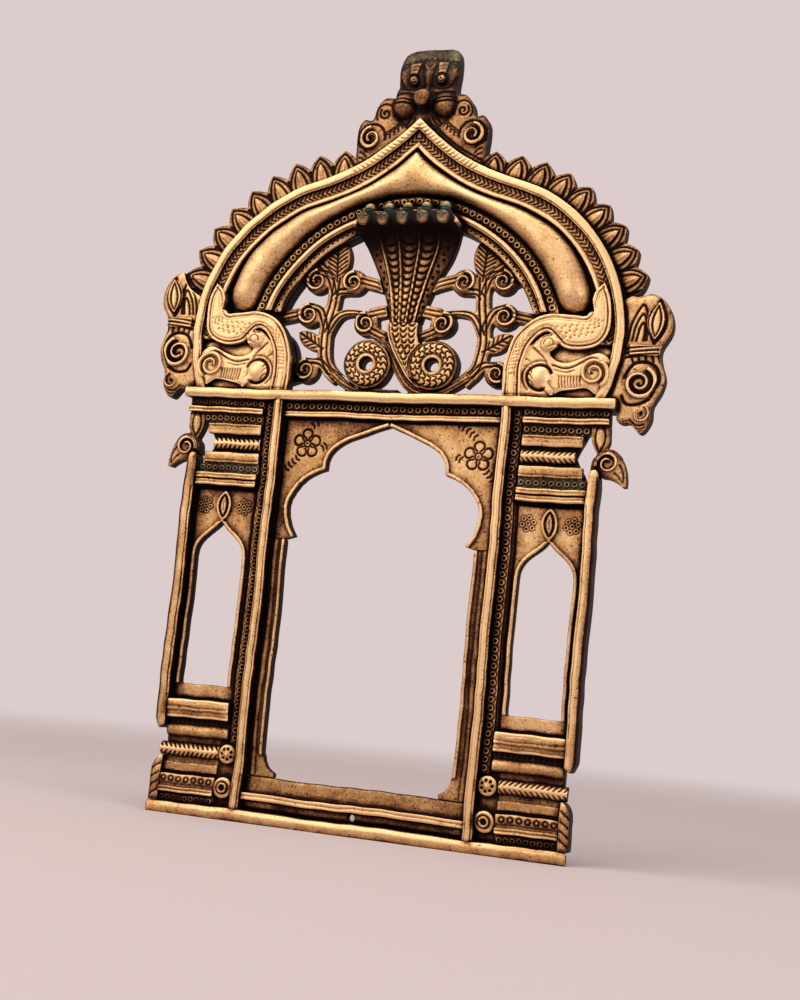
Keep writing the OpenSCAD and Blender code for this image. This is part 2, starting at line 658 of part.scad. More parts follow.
// Tympanum: the naga on its two coils
coil_z = lintel_top + 9.5;
coil_wall = tympanum_back - plate_depth;
coil_lift = 1.6;
coil_half = (coil_r - coil_eye_r) / 2;
coil_crown_r = cap_r(coil_half, coil_lift);
coil_sweep = asin(coil_half / coil_crown_r);
module coil_section() polygon(concat([[coil_eye_r, 0], [coil_r, 0]],
  arc([coil_eye_r + coil_half, coil_wall + coil_lift - coil_crown_r], coil_crown_r,
    90 - coil_sweep, 90 + coil_sweep, 8)));
// The neck comes down from the hood and turns in an S round the right coil
neck_half_w = 4.8;
neck_gap = 0.1;
neck_h = 12.8;
function by_coils(p) = [for (q = p) q + [0, coil_z]];
neck_left = through(by_coils([[-neck_half_w, neck_h], [-4.4, 9], [-2.8, 5.2], [-0.4, 1], [2.4, -3.4],
  [6.4, -6.8]]), 4);
module coil_discs(extra = 0) for (s = [-1, 1]) translate([s * coil_x, coil_z]) circle(coil_r + extra);
module neck_2d() difference() {
  polygon(concat(neck_left, by_coils([[coil_x, -6], [coil_x, 4], [5.6, 6.8], [neck_half_w, 9.6],
    [neck_half_w, neck_h]])));
  coil_discs(neck_gap);
}
// The tail leaves the left coil at its top and passes under the neck to the right
tail_w = 2.6;
tail_path = through(by_coils([[-7, 7.4], [-4.4, 5], [-2, 1], [0.6, -3.4], [4.2, -7], [9.8, -8.4],
  [15.4, -6.6], [21.4, -3.1]]), 4);
module tail_2d() difference() {
  band(tail_path, tail_w, tail_w);
  coil_discs(neck_gap);
  neck_2d();
}
module naga_coils() color(polished) {
  for (s = [-1, 1]) turned([s * coil_x, coil_z], tympanum_back) coil_section();
  slab(plate_depth - 1, tympanum_back) neck_2d();
}
// Hood stations: height above the coils, half width, depth of the face and depth of the back
hood_base = coil_z + neck_h;
hood_stations = [[0, neck_half_w, 4.8, 10], [6, 6.4, 4.6, 10], [13, 9.2, 4.6, 10], [19, 12.2, 4.2, 10],
  [23, 14.2, 3.4, 9], [26, 15.8, 1.4, 6.4], [28, 16.6, -2, 4], [30, 15.2, -2, 1.8], [32, 13.4, -2, 1.8]];
hood_lip = -2;
function hood_at(t) = let (i = min(floor(t), len(hood_stations) - 2), m = len(hood_stations) - 1)
  knot(hood_stations[max(i - 1, 0)], hood_stations[i], hood_stations[i + 1],
    hood_stations[min(i + 2, m)], t - i);
hood_curve = 2.6;
function hood_ring(h) = let (z = hood_base + h[0], face = max(h[2], hood_lip),
  edge = hood_curve * min(1, (face - hood_lip) / 5)) concat(
  [for (k = [-5 : 5]) let (u = k / 5) [h[1] * u, face + edge * u * u - frame_depth / 2, z]],
  [[h[1], h[3] - frame_depth / 2, z], [-h[1], h[3] - frame_depth / 2, z]]);
module naga_hood() color(aged) skin([for (i = [0 : 16]) hood_ring(hood_at(i / 2))]);
module hood_2d() polygon(concat(
  [for (i = [0 : 12]) let (h = hood_at(i / 2)) [h[1], hood_base + h[0]]],
  [for (i = [12 : -1 : 0]) let (h = hood_at(i / 2)) [-h[1], hood_base + h[0]]]));
// A naga head: a turned snout that stands forward from the lip of the hood
head_rise = 29;
knob_rise = 32;
module naga_heads() color(aged) for (i = [-2 : 2])
  turned([i * head_pitch * 0.94, hood_base + head_rise], hood_lip) {
    square([head_r * 0.8, head_r]);
    translate([0, head_r]) intersection() {
      circle(head_r);
      translate([0, -head_r]) square(2 * head_r);
    }
  }
module hood_knobs() color(verdigris) for (i = [-2 : 2])
  translate([i * head_pitch * 0.9, hood_lip + 1.9 - frame_depth / 2, hood_base + knob_rise])
    rotate_extrude() intersection() {
      translate([0, head_r * 0.6]) circle(head_r * 0.85);
      square(2 * head_r);
    }

// Tympanum: the vine scrolls, drawn for the right and mirrored
foot = lintel_top;
function over(p) = [for (q = p) q + [0, foot]];
trunk_path = through(over([[19.6, 4.6], [23.6, 8.6], [25, 14.6], [24.6, 21.5], [23.4, 28], [22.8, 36]]), 4);
leaf_base = [22.8, foot + 34.6];
leaf_length = 15;
leaf_w = 8;
leaf_lean = -5;
// Small leaves beside the stem: middle, turn, length and width
side_leaves = [[[29.4, 16.4], -58, 10, 5], [[36, 13.6], -20, 12, 4.6]];
scrolls = [[17.2, 34.6], [29.2, 35], [12, 22], [30.6, 24.4], [30, 7.4]];
branches = [
  [[23.2, 30], [21.4, 31.6], [17.2, 31.4]], [[23.2, 30.6], [25.4, 36.4], [29.2, 37.8]],
  [[24.6, 18.6], [20.6, 24.6], [13, 25.2]], [[24.8, 20], [27, 25.8], [30.6, 27.4]],
  [[22.4, 6.4], [25.6, 9.6], [30, 10.4]]];
ties = [[[15, 35.4], [7, 33.2]], [[31, 34.6], [37.6, 38.2]], [[10.4, 20], [4, 17.2]],
  [[32, 25], [42, 23.4]], [[32, 6], [38, 4]], [[11, 25], [4.4, 26.4]], [[24, 36], [30.6, 41.6]]];
branch_w = 3.6;
branch_tip_w = 1.4;
curl_lift = 0.9;
module vine_2d() {
  band(trunk_path, stem_w, stem_w);
  for (b = branches) band(through(over(b), 4), branch_w, branch_tip_w);
  for (t = ties) band(over(t), branch_w, branch_w);
  for (c = scrolls) translate(c + [0, foot]) circle(scroll_r);
  translate(leaf_base) rotate(leaf_lean) translate([0, leaf_length / 2]) lens(leaf_length, leaf_w);
  for (s = side_leaves) translate(s[0] + [0, foot]) rotate(s[1]) lens(s[2], s[3]);
}
// The runner lies on the lintel under the coils; on the right it is the naga's own tail
module runner_2d() {
  intersection() {
    band(through(over([[-21.4, 6.4], [-16.6, 3], [-9, 1.2], [0, 0.9]]), 4), tail_w, tail_w);
    translate([-2 * half_width, 0]) square([2 * half_width, 4 * half_width]);
  }
  tail_2d();
  span(-17, foot, 17, foot + 1.2);
}
module vine_runner() color(aged) slab(plate_depth, tympanum_back) difference() {
  intersection() {
    runner_2d();
    above(foot);
  }
  coil_discs(neck_gap);
  neck_2d();
}
// What each vine has to leave free: runner, naga, arch and, at its foot, the makara's ground
module vine_trim() difference() {
  vine_2d();
  runner_2d();
  mirror([1, 0]) runner_2d();
  coil_discs();
  hood_2d();
  neck_2d();
  mirror([1, 0]) neck_2d();
  difference() {
    arch_field(0);
    translate(opening) circle(opening_r, $fn = 96);
    above_gap();
  }
}
module vine() color(polished) {
  slab(plate_depth, tympanum_back) vine_trim();
  for (c = scrolls) slab(plate_depth - curl_lift, plate_depth)
    band(spiral(c + [0, foot], scroll_r - 0.7, 0.8, 90, -400, 26), 1.3, 0.9);
}

// Crest: petals, corner scrolls, apex scrolls and the lion mask
petal_first = 19;
petal_last = 84.4;
petal_w = 9.6;
petal_t = 4.5;
rib_lift = 0.5;
// Half of a petal, from its foot inside the rim to its tip
function petal_side(h, w) = cubic([w / 2, -4], [w * 0.66, h * 0.5], [w * 0.32, h * 0.8], [0, h], 8);
module petal_2d(a, h, w) difference() {
  translate(haunch) rotate(a - 90) translate([0, haunch_r])
    polygon(concat(petal_side(h, w), reversed(flipped(petal_side(h, w)))));
  arch_field(0);
}
module petals(h) color(aged) for (i = [0 : petal_count - 1]) {
  a = lerp(petal_first, petal_last, i / (petal_count - 1));
  slab(crest_depth, crest_depth + petal_t) petal_2d(a, h, petal_w);
  slab(crest_depth - rib_lift, crest_depth) petal_2d(a, h - 2, petal_w * 0.4);
}
// Corner scrolls, drawn outwards from the edge of the arch and up from the lintel
corner_edge = [[6.6, -5.9], [9.2, -2.4], [9.4, 2], [11.4, 6], [12, 10], [10.6, 15], [10.4, 18.4],
  [12.9, 23], [12.8, 27.6], [10.6, 31.8], [6.8, 33.8], [2.8, 32.8], [-2.4, 33.6], [-5, 24], [-7.4, 12],
  [-5.4, 3], [0.4, -2.8], [3.6, -3]];
corner_eye = [5.4, 8];
corner_curl = [6.4, -0.6];
corner_bud = [8.6, 26];
corner_face = 3;
corner_t = 5;
corner_lift = 1;
module corner_2d() translate([arch_x, lintel_top]) polygon(around(corner_edge, 4));
module corner_scroll(rise, h) color(polished) translate([0, 0, rise]) {
  lift = [arch_x, lintel_top];
  slab(corner_face, corner_face + corner_t) difference() {
    corner_2d();
    translate([0, -rise]) union() {
      arch_field(0);
      span(0, 0, lintel_half, lintel_top);
      petal_2d(petal_first, h, petal_w);
    }
  }
  slab(corner_face - corner_lift, corner_face) {
    band(spiral(corner_eye + lift, 4.6, 1, 70, -500, 36), 1.6, 1);
    band(spiral(corner_curl + lift, 2.4, 0.7, 60, -300, 20), 1, 0.7);
    intersection() {
      corner_2d();
      span(arch_x + 1.8, lintel_top + 16, arch_x + 12.2, lintel_top + 19);
    }
  }
  slab(corner_face - corner_lift, corner_face) translate(corner_bud + lift) rotate(-4) lens(11, 5.4);
}
mask_half = 9.8;
apex_lift = 1;
// Apex scrolls reach from the mask to the first petal
module apex_scroll_2d() translate([haunch_x, apex_h]) polygon(concat(
  [[-haunch_x + 1, -14], [1.9, -20]],
  through([[2.1, -10], [2.3, -1.6], [0.5, 1.6], [-2.1, 1.4], [-3.1, 5.4], [-5.7, 8.2], [-9.1, 8]], 4),
  [[-haunch_x + 1, 8]]));
apex_curl = [-2.4, -4.6];
module apex_scroll(h) color(aged) translate([0, 0, lintel_top]) {
  slab(crest_depth, crest_depth + petal_t) difference() {
    apex_scroll_2d();
    translate([0, -lintel_top]) union() {
      arch_field(0);
      petal_2d(petal_last, h, petal_w);
    }
    mask_2d();
  }
  slab(crest_depth - apex_lift, crest_depth)
    band(spiral(apex_curl + [haunch_x, apex_h], 3.4, 0.8, 90, -420, 28), 1.4, 0.9);
}
// Half of the mask, from under the chin to the top of the rounded crown
mask_side = concat([[3.4, apex_h - 3.4], [8.4, apex_h + 1]],
  through([[mask_half, apex_h + 6], [mask_half - 0.6, apex_h + 12], [mask_half - 0.4, apex_h + 19],
    [mask_half - 1.4, apex_h + 23], [mask_half - 4, apex_h + 24.4]], 3));
module mask_2d() polygon(concat([[0, apex_h - 4]], mask_side, [[0, apex_h + 24.6]],
  reversed(flipped(mask_side))));
mask_face = 5;
mask_eye_x = 4.4;
mask_eye_h = 13.8;
brow_half = 1.2;
brow_r = 0.9;
cheek_x = 6.4;
cheek_h = 5.2;
cheek_r = 4.2;
module lion_mask() color(aged) translate([0, 0, lintel_top]) {
  intersection() {
    difference() {
      slab(mask_face, back) mask_2d();
      slab(0, back + 1) translate([0, -lintel_top]) arch_field(0);
    }
    bar(-mask_half - 1, mask_half + 1) polygon([[mask_face, 0], [mask_face, apex_h + 10],
      [mask_face + 1.4, apex_h + 12], [mask_face + 1, apex_h + 16], [mask_face + 3.4, apex_h + 25],
      [back, apex_h + 25], [back, 0]]);
  }
  // Cheeks, eyes and three brow rolls over each eye
  for (s = [-1, 1]) {
    turned([s * cheek_x, apex_h + cheek_h], mask_face) dome_section(cheek_r, 2.6);
    turned([s * mask_eye_x, apex_h + mask_eye_h], mask_face + 1.6) dome_section(1.5, 2);
    for (k = [0 : 2]) bar(s * mask_eye_x - brow_half - 0.2 * k, s * mask_eye_x + brow_half + 0.2 * k)
      translate([mask_face + 1 + 0.34 * k, apex_h + mask_eye_h + 2.3 + 1.4 * k]) circle(brow_r);
  }
}
module mask_ball() color(polished) turned([0, lintel_top + apex_h + 6.6], mask_face) {
  square([ball_r * 0.5, ball_r]);
  translate([0, ball_r]) intersection() {
    circle(ball_r);
    translate([0, -ball_r]) square(2 * ball_r);
  }
}

base_rail();
sill_panel();
sill_bar();
left() jamb();  // left_jamb
jamb();  // right_jamb
cusped_arch();
cusp_rim();
lintel_fillet();
centre_bead_strip();
lintel();
left() inner_post();  // left_inner_post
inner_post();  // right_inner_post
left() outer_post();  // left_outer_post
outer_post();  // right_outer_post
left() bead_strip();  // left_bead_strip
bead_strip();  // right_bead_strip
left() niche_panel();  // left_niche_panel
niche_panel();  // right_niche_panel
left() niche_rim();  // left_niche_rim
niche_rim();  // right_niche_rim
left() plinth();  // left_plinth
plinth();  // right_plinth
left() plinth_rope();  // left_plinth_rope
plinth_rope();  // right_plinth_rope
left() plinth_bosses();  // left_plinth_bosses
plinth_bosses();  // right_plinth_bosses
left() plinth_leaf();  // left_plinth_leaf
plinth_leaf();  // right_plinth_leaf
left() capital();  // left_capital
capital();  // right_capital
left() capital_rope();  // left_capital_rope
capital_rope();  // right_capital_rope
left() drop_leaf();  // left_drop_leaf
drop_leaf();  // right_drop_leaf
left() parrot_bracket();  // left_parrot_bracket
parrot_bracket();  // right_parrot_bracket
arch_plate();
arch_outer_rim();
arch_chevron_band();
arch_ridge();
arch_roll();
arch_bead_band();
arch_inner_rim();
left() makara();  // left_makara
makara();  // right_makara
vine_runner();
left() vine();  // left_vine
vine();  // right_vine
naga_coils();
naga_hood();
naga_heads();
hood_knobs();
left() petals(petal_h);  // left_petals
petals(petal_h - petal_trim);  // right_petals
left() corner_scroll(corner_stagger / 2, petal_h);  // left_corner_scroll
corner_scroll(-corner_stagger / 2, petal_h - petal_trim);  // right_corner_scroll
left() apex_scroll(petal_h);  // left_apex_scroll
apex_scroll(petal_h - petal_trim);  // right_apex_scroll
lion_mask();
mask_ball();
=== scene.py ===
"""Brass prabhavali: looks of the cast shrine arch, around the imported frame. Lengths are in millimetres."""
import json
import math

import bmesh
import bpy
import numpy as np
from mathutils import Matrix, Vector


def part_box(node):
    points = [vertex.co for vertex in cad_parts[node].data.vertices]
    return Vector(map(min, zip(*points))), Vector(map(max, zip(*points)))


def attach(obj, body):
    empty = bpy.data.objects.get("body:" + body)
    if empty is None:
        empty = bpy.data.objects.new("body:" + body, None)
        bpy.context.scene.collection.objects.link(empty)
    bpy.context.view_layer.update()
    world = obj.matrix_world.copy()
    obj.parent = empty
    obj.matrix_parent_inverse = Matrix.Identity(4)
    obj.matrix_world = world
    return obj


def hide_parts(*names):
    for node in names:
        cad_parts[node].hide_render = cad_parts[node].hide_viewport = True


MM = 0.001
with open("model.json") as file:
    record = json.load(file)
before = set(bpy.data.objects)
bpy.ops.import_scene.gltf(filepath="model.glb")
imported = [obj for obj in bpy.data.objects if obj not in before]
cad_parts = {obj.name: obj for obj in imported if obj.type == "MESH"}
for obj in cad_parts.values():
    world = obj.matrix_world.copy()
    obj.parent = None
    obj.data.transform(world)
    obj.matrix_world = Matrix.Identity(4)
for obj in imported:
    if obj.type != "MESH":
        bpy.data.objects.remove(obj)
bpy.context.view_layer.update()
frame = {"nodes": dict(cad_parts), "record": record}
slot_of = {part["node"]: part["material_slot"] for part in frame["record"]["subparts"]}


# Driving places, taken from the frame
def node_box(node):
    low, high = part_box(node)
    return np.array(low) / MM, np.array(high) / MM


front = node_box("lintel")[0][1]
lintel_z = node_box("lintel")[0][2]
lintel_top = node_box("lintel")[1][2]
rail_top = node_box("base_rail")[1][2]
plinth_top = node_box("right_plinth")[1][2]
niche_low, niche_high = node_box("right_niche_panel")
niche_top = niche_high[2]
niche_mid = (niche_low[0] + niche_high[0]) / 2
strip_low, strip_high = node_box("right_bead_strip")
inner_post_low, inner_post_high = node_box("right_inner_post")
outer_post_low, outer_post_high = node_box("right_outer_post")
arch_x = node_box("arch_outer_rim")[1][0]
apex_z = node_box("arch_outer_rim")[1][2]

# Arch curves, as the CAD source draws them
HAUNCH_R = 48.3
HAUNCH_END = 73.8
haunch = np.array([arch_x - HAUNCH_R, lintel_top + 18.0])
opening = np.array([0.0, lintel_top + 10.5])


# Curves in the front view, as rows of x and z
def through(points, steps=6):
    """A smooth curve through the points."""
    p = np.array(points, float)
    p = np.vstack([p[0], p, p[-1]])
    t = np.linspace(0, 1, steps, endpoint=False)[:, None]
    pieces = []
    for a, b, c, d in zip(p, p[1:], p[2:], p[3:]):
        pieces.append(0.5 * (2 * b + (c - a) * t + (2 * a - 5 * b + 4 * c - d) * t ** 2
                             + (3 * b - a - 3 * c + d) * t ** 3))
    return np.vstack(pieces + [p[-1:]])


def heading(degrees):
    return np.array([math.cos(math.radians(degrees)), math.sin(math.radians(degrees))])


def spiral(centre, r0, r1, a0, a1, steps=40):
    """A curl from one radius and angle to another, in degrees."""
    angle = np.radians(np.linspace(a0, a1, steps))
    radius = np.linspace(r0, r1, steps)
    return np.array(centre) + np.stack([radius * np.cos(angle), radius * np.sin(angle)], 1)


def arc(centre, radius, a0, a1, steps=24):
    return spiral(centre, radius, radius, a0, a1, steps)


def leaf_edge(base, tip, width, steps=12):
    """A closed almond outline from a base to a tip."""
    base, tip = np.array(base, float), np.array(tip, float)
    along = tip - base
    across = np.array([-along[1], along[0]]) / np.linalg.norm(along)
    t = np.linspace(0, 1, steps)[:, None]
    bulge = width / 2 * np.sin(np.pi * t ** 0.9)
    one = base + along * t + across * bulge
    two = base + along * t - across * bulge
    return np.vstack([one, two[::-1]])


def moved_aside(path, width):
    """A path moved sideways by a width."""
    step = np.gradient(np.asarray(path, float), axis=0)
    step /= np.linalg.norm(step, axis=1)[:, None] + 1e-9
    return path + width * np.stack([-step[:, 1], step[:, 0]], 1)


def spaced(path, pitch):
    """Points and headings at equal steps along a path."""
    path = np.asarray(path, float)
    length = np.concatenate([[0], np.cumsum(np.linalg.norm(np.diff(path, axis=0), axis=1))])
    count = max(1, int(round(length[-1] / pitch)))
    at = (np.arange(count) + 0.5) * length[-1] / count
    spots = np.stack([np.interp(at, length, path[:, k]) for k in (0, 1)], 1)
    ahead = np.stack([np.interp(at + 0.05, length, path[:, k]) for k in (0, 1)], 1)
    behind = np.stack([np.interp(at - 0.05, length, path[:, k]) for k in (0, 1)], 1)
    head = ahead - behind
    return spots, head / (np.linalg.norm(head, axis=1)[:, None] + 1e-9)


def strokes_along(path, pitch, length, lean, aside=0.0):
    """Short strokes at equal steps along a path, leaning by an angle from its heading."""
    spots, heads = spaced(path, pitch)
    c, s = math.cos(math.radians(lean)), math.sin(math.radians(lean))
    strokes = []
    for spot, head in zip(spots, heads):
        side = np.array([-head[1], head[0]])
        way = c * head + s * side
        middle = spot + aside * side
        strokes.append(np.array([middle - way * length / 2, middle + way * length / 2]))
    return strokes


def arch_side(inside, a0=-18.0):
    """The right half of the arch edge at a distance inside it, from the lintel to the apex."""
    radius = HAUNCH_R - inside
    round_part = arc(haunch, radius, a0, HAUNCH_END, 40)
    s = round_part[-1]
    end = math.radians(HAUNCH_END)
    lead = s + 20.0 * np.array([-math.sin(end), math.cos(end)])
    top = np.array([0.0, apex_z - 1.3 * inside])
    t = np.linspace(0, 1, 16)[1:, None]
    return np.vstack([round_part, (1 - t) ** 2 * s + 2 * t * (1 - t) * lead + t ** 2 * top])


# Relief drawn on the front of a piece
class Relief:
    """Heights that strokes add to the points of a piece, in its own right-hand front view."""

    def __init__(self, x, z):
        self.x, self.z = x, z
        self.rise = np.zeros(len(x))
        self.cut = np.zeros(len(x))

    def _near(self, path, reach):
        low, high = np.min(path, 0) - reach, np.max(path, 0) + reach
        inside = (self.x > low[0]) & (self.x < high[0]) & (self.z > low[1]) & (self.z < high[1])
        return np.nonzero(inside)[0]

    def _far(self, near, path):
        best = np.full(len(near), 1e9)
        px, pz = self.x[near], self.z[near]
        for a, b in zip(path[:-1], path[1:]):
            dx, dz = b[0] - a[0], b[1] - a[1]
            t = np.clip(((px - a[0]) * dx + (pz - a[1]) * dz) / (dx * dx + dz * dz + 1e-12), 0, 1)
            best = np.minimum(best, (px - a[0] - t * dx) ** 2 + (pz - a[1] - t * dz) ** 2)
        return np.sqrt(best)

    def _add(self, near, amount):
        self.rise[near] = np.maximum(self.rise[near], amount)
        self.cut[near] = np.minimum(self.cut[near], amount)

    def line(self, path, width, height):
        """A rounded ridge, or a groove if the height is below zero."""
        path = np.asarray(path, float)
        near = self._near(path, width)
        if len(near):
            far = self._far(near, path) / (width / 2)
            self._add(near, height * np.exp(-far ** 2 * 1.4))

    def lines(self, paths, width, height):
        for path in paths:
            self.line(path, width, height)

    def pair(self, path, apart, width, height):
        """Two lines, one on each side of a path."""
        self.lines([moved_aside(path, apart), moved_aside(path, -apart)], width, height)

    def ring(self, centre, radius, width, height):
        centre = np.asarray(centre, float)
        near = self._near(centre[None], radius + width)
        far = np.abs(np.hypot(self.x[near] - centre[0], self.z[near] - centre[1]) - radius) / (width / 2)
        self._add(near, height * np.exp(-far ** 2 * 1.4))

    def dot(self, centre, radius, height):
        """A round bead, or a pit if the height is below zero."""
        centre = np.asarray(centre, float)
        near = self._near(centre[None], radius)
        far = np.hypot(self.x[near] - centre[0], self.z[near] - centre[1]) / radius
        self._add(near, height * np.sqrt(np.clip(1 - far ** 2, 0, 1)))

    def punch(self, centre, radius):
        """A hand-struck ring: a raised ring with a pit in it and a trough around it."""
        self.ring(centre, radius * 1.12, radius * 0.4, -0.25)
        self.ring(centre, radius * 0.68, radius * 0.5, 0.42)
        self.dot(centre, radius * 0.42, -0.55)

    def punches(self, path, pitch, radius):
        for spot in spaced(path, pitch)[0]:
            self.punch(spot, radius)


def row(x0, x1, z):
    """A level line."""
    return np.array([[x0, z], [x1, z]])


# Carving of each piece, for its right-hand form
def carve_lintel(r):
    r.line(row(-70, 70, lintel_top - 0.5), 0.5, -0.12)
    r.line(row(-70, 70, lintel_z + 0.55), 0.5, -0.2)


def carve_base_rail(r):
    r.line(row(-64, 64, rail_top - 0.5), 0.6, -0.15)


def carve_sill_panel(r):
    r.line(row(-34, 34, rail_top + 0.3), 0.8, -0.4)


def carve_sill_bar(r):
    middle = (node_box("sill_bar")[0][2] + node_box("sill_bar")[1][2]) / 2
    wavy = through([(-34, 0), (-20, 0.1), (-4, -0.1), (5, 0.2), (34, 0)]) + (0, middle)
    r.line(wavy, 0.5, -0.3)


def carve_jamb(r):
    edge = inner_post_low[0]
    r.line([(edge - 0.2, rail_top), (edge - 0.2, lintel_z)], 1.4, -0.7)
    worn = through([(-2.6, 14), (-2.3, 30), (-2.7, 48), (-2.4, 66), (-2.6, 84)]) + (edge, 0)
    r.line(worn, 0.6, -0.25)


def crescents(r, first, last, count):
    """A row of curved chisel strokes across the way from one place to another."""
    way = (last - first) / np.linalg.norm(last - first)
    across = np.array([-way[1], way[0]])
    for spot in np.linspace(first, last, count):
        r.line(through([spot - across * 0.95, spot + way * 0.4, spot + across * 0.95], 4), 0.45, -0.5)


def carve_cusped_arch(r):
    for side, x, z in [(1, 27.6, lintel_z - 14.4), (-1, -25.6, lintel_z - 12.6)]:
        heart = np.array([x, z])
        r.ring(heart, 1.05, 0.55, -0.5)
        r.dot(heart, 0.5, -0.3)
        for k in range(5):
            out = heading(72 * k + 18)
            across = np.array([-out[1], out[0]])
            petal = [(1.5, -0.5), (2.6, -1.5), (3.8, -1.2), (4.3, 0), (3.8, 1.2), (2.6, 1.5), (1.5, 0.5)]
            r.line(through([heart + a * out + b * across for a, b in petal], 3), 0.5, -0.55)
        crescents(r, heart + (-side * 1.4, 5.4), heart + (-side * 6.2, 9.0), 5)
        crescents(r, heart + (side * 2.8, -4.4), heart + (side * 6.0, -7.4), 4)
        crescents(r, heart + (-side * 5.0, -1.2), heart + (-side * 6.0, -0.6), 2)
    r.line(row(-34, 34, lintel_z - 5.0), 1.0, -0.5)
    for side in (-1, 1):
        edge = side * (inner_post_low[0] - 0.1)
        r.line([(edge, 80), (edge, lintel_z)], 1.4, -0.6)


def carve_lintel_fillet(r):
    low, high = node_box("lintel_fillet")
    r.line(row(-35, 35, (low[2] + high[2]) / 2), 0.5, -0.25)


def carve_centre_strip(r):
    low, high = node_box("centre_bead_strip")
    middle = (low[2] + high[2]) / 2 - 0.1
    r.punches(row(low[0] + 0.6, high[0] - 0.6, middle), 2.35, 1.02)
    r.line(row(-35, 35, low[2] + 0.1), 0.5, -0.4)
    r.line(row(-35, 35, high[2] - 0.1), 0.6, -0.5)


def carve_inner_post(r):
    left, right = inner_post_low[0], inner_post_high[0]
    for x in (left + 0.15, right - 0.15):
        r.line([(x, rail_top), (x, lintel_z)], 0.9, -0.4)


def carve_outer_post(r):
    left, right = outer_post_low[0], outer_post_high[0]
    foot, head = outer_post_low[2], outer_post_high[2]
    r.line([(left + 0.1, plinth_top + 0.5), (left + 0.1, niche_top - 0.5)], 0.9, -0.5)
    r.line([(right - 0.1, foot), (right - 0.1, head)], 0.9, -0.4)
    r.line(through([(left + 2.3, 58), (left + 2.1, 70), (left + 2.4, 84)]), 0.3, -0.1)


def carve_bead_strip(r):
    middle = strip_low[0] + 1.45
    foot = strip_low[2]
    r.punches([(middle, foot + 0.4), (middle, lintel_z - 0.4)], 2.3, 1.02)
    r.line([(strip_low[0], foot), (strip_low[0], lintel_z)], 0.5, -0.4)


def carve_niche_panel(r):
    for side in (-1, 1):
        heart = np.array([niche_mid + side * 6.4, niche_top - 5.6])
        r.punch(heart, 0.8)
        for k in range(6):
            r.punch(heart + 1.75 * heading(60 * k + 15), 0.8)
    r.line(row(niche_low[0], niche_high[0], niche_top - 0.2), 0.9, -0.6)
    for x in (niche_low[0] + 0.2, niche_high[0] - 0.2):
        r.line([(x, plinth_top), (x, niche_top)], 0.9, -0.5)
    r.line(row(niche_low[0], niche_high[0], plinth_top + 0.3), 0.8, -0.5)


def carve_niche_rim(r):
    tip = niche_top - 10.4
    r.line([(niche_mid, tip + 3.4), (niche_mid, tip + 6.2)], 0.4, -0.25)


def row_line(r, x0, x1, z, depth=0.28):
    r.line(row(x0, x1, z), 0.5, -depth)


def carve_plinth(r):
    boss_side, inner, x1 = strip_low[0] + 6.2, niche_low[0], outer_post_low[0]
    z = rail_top
    r.punches(row(boss_side, x1, z + 1.2), 2.05, 0.95)
    row_line(r, boss_side, x1, z + 3.65)
    for spot in spaced(row(boss_side + 0.4, x1, z + 6.6), 2.3)[0]:
        r.ring(spot, 0.72, 0.5, -0.42)
    row_line(r, boss_side, x1, z + 5.3, 0.2)
    for spot in spaced(row(inner, x1, z + 23.75), 1.5)[0]:
        r.dot(spot, 0.5, -0.45)
    row_line(r, inner, x1, z + 25.4, 0.15)
    r.line(through([(inner, z + 27.7), (inner + 8, z + 27.5), (x1, z + 27.9)]), 0.4, -0.2)
    r.line(through([(inner + 3, z + 28.9), (inner + 8, z + 29.1), (inner + 13, z + 28.9)]), 0.3, -0.12)


def rope_cuts(r, x0, x1, middle):
    for edge, lean in ((1, 52), (-1, -52)):
        path = row(x0, x1, middle + edge * 1.28)
        r.lines(strokes_along(path, 1.5, 1.5, lean), 0.52, -0.42)


def carve_plinth_rope(r):
    rope_cuts(r, strip_low[0] + 6, outer_post_high[0], rail_top + 15.2)


def carve_capital_rope(r):
    rope_cuts(r, niche_low[0], outer_post_low[0], niche_top + 13.4)


def carve_plinth_bosses(r):
    low, high = node_box("right_plinth_bosses")
    x = (low[0] + high[0]) / 2
    upper = np.array([x, high[2] - 2.8])
    lower = np.array([x, low[2] + 3.0])
    r.ring(lower, 1.9, 0.6, -0.35)
    r.dot(lower, 0.9, -0.8)
    r.ring(lower, 1.25, 0.5, 0.25)
    r.dot(upper, 0.7, 0.3)
    for k in range(7):
        r.dot(upper + 1.6 * heading(51.4 * k), 0.5, -0.5)


def carve_plinth_leaf(r):
    left, right = outer_post_low[0], outer_post_high[0]
    for k in range(4):
        z = rail_top + 1.2 + 2.5 * k
        r.line(through([(left, z + 2.2), (left + 1.6, z + 1.2), (right, z)], 4), 0.5, -0.4)


def carve_capital(r):
    x0, x1, wide = niche_low[0], outer_post_low[0], outer_post_high[0] + 1.4
    z = niche_top
    r.line(through([(x0, z + 1.3), (x0 + 9, z + 1.15), (x1, z + 1.35)]), 0.45, -0.25)
    row_line(r, x0, x1, z + 3.35, 0.2)
    r.punches(row(x0, x1 - 0.5, z + 5.8), 2.1, 0.95)
    row_line(r, x0, x1 - 2, z + 8.1, 0.2)
    row_line(r, x0, x1 - 2, z + 18.6, 0.2)
    r.punches(row(x0, x1 - 0.7, z + 21.0), 2.15, 0.98)
    row_line(r, x0, wide, z + 23.4, 0.35)
    r.punches(row(x0, wide, z + 25.9), 2.15, 0.95)


def carve_drop_leaf(r):
    low, high = node_box("right_drop_leaf")
    x = (low[0] + high[0]) / 2
    r.line(leaf_edge((x, low[2] + 1.3), (x, high[2] + 1.6), 2.9), 0.5, -0.5)
    r.line([(x, low[2] + 2.6), (x, high[2] - 1.4)], 0.7, 0.3)


parrot_eye = np.array([outer_post_high[0] + 1.4, outer_post_high[2] + 1.8])


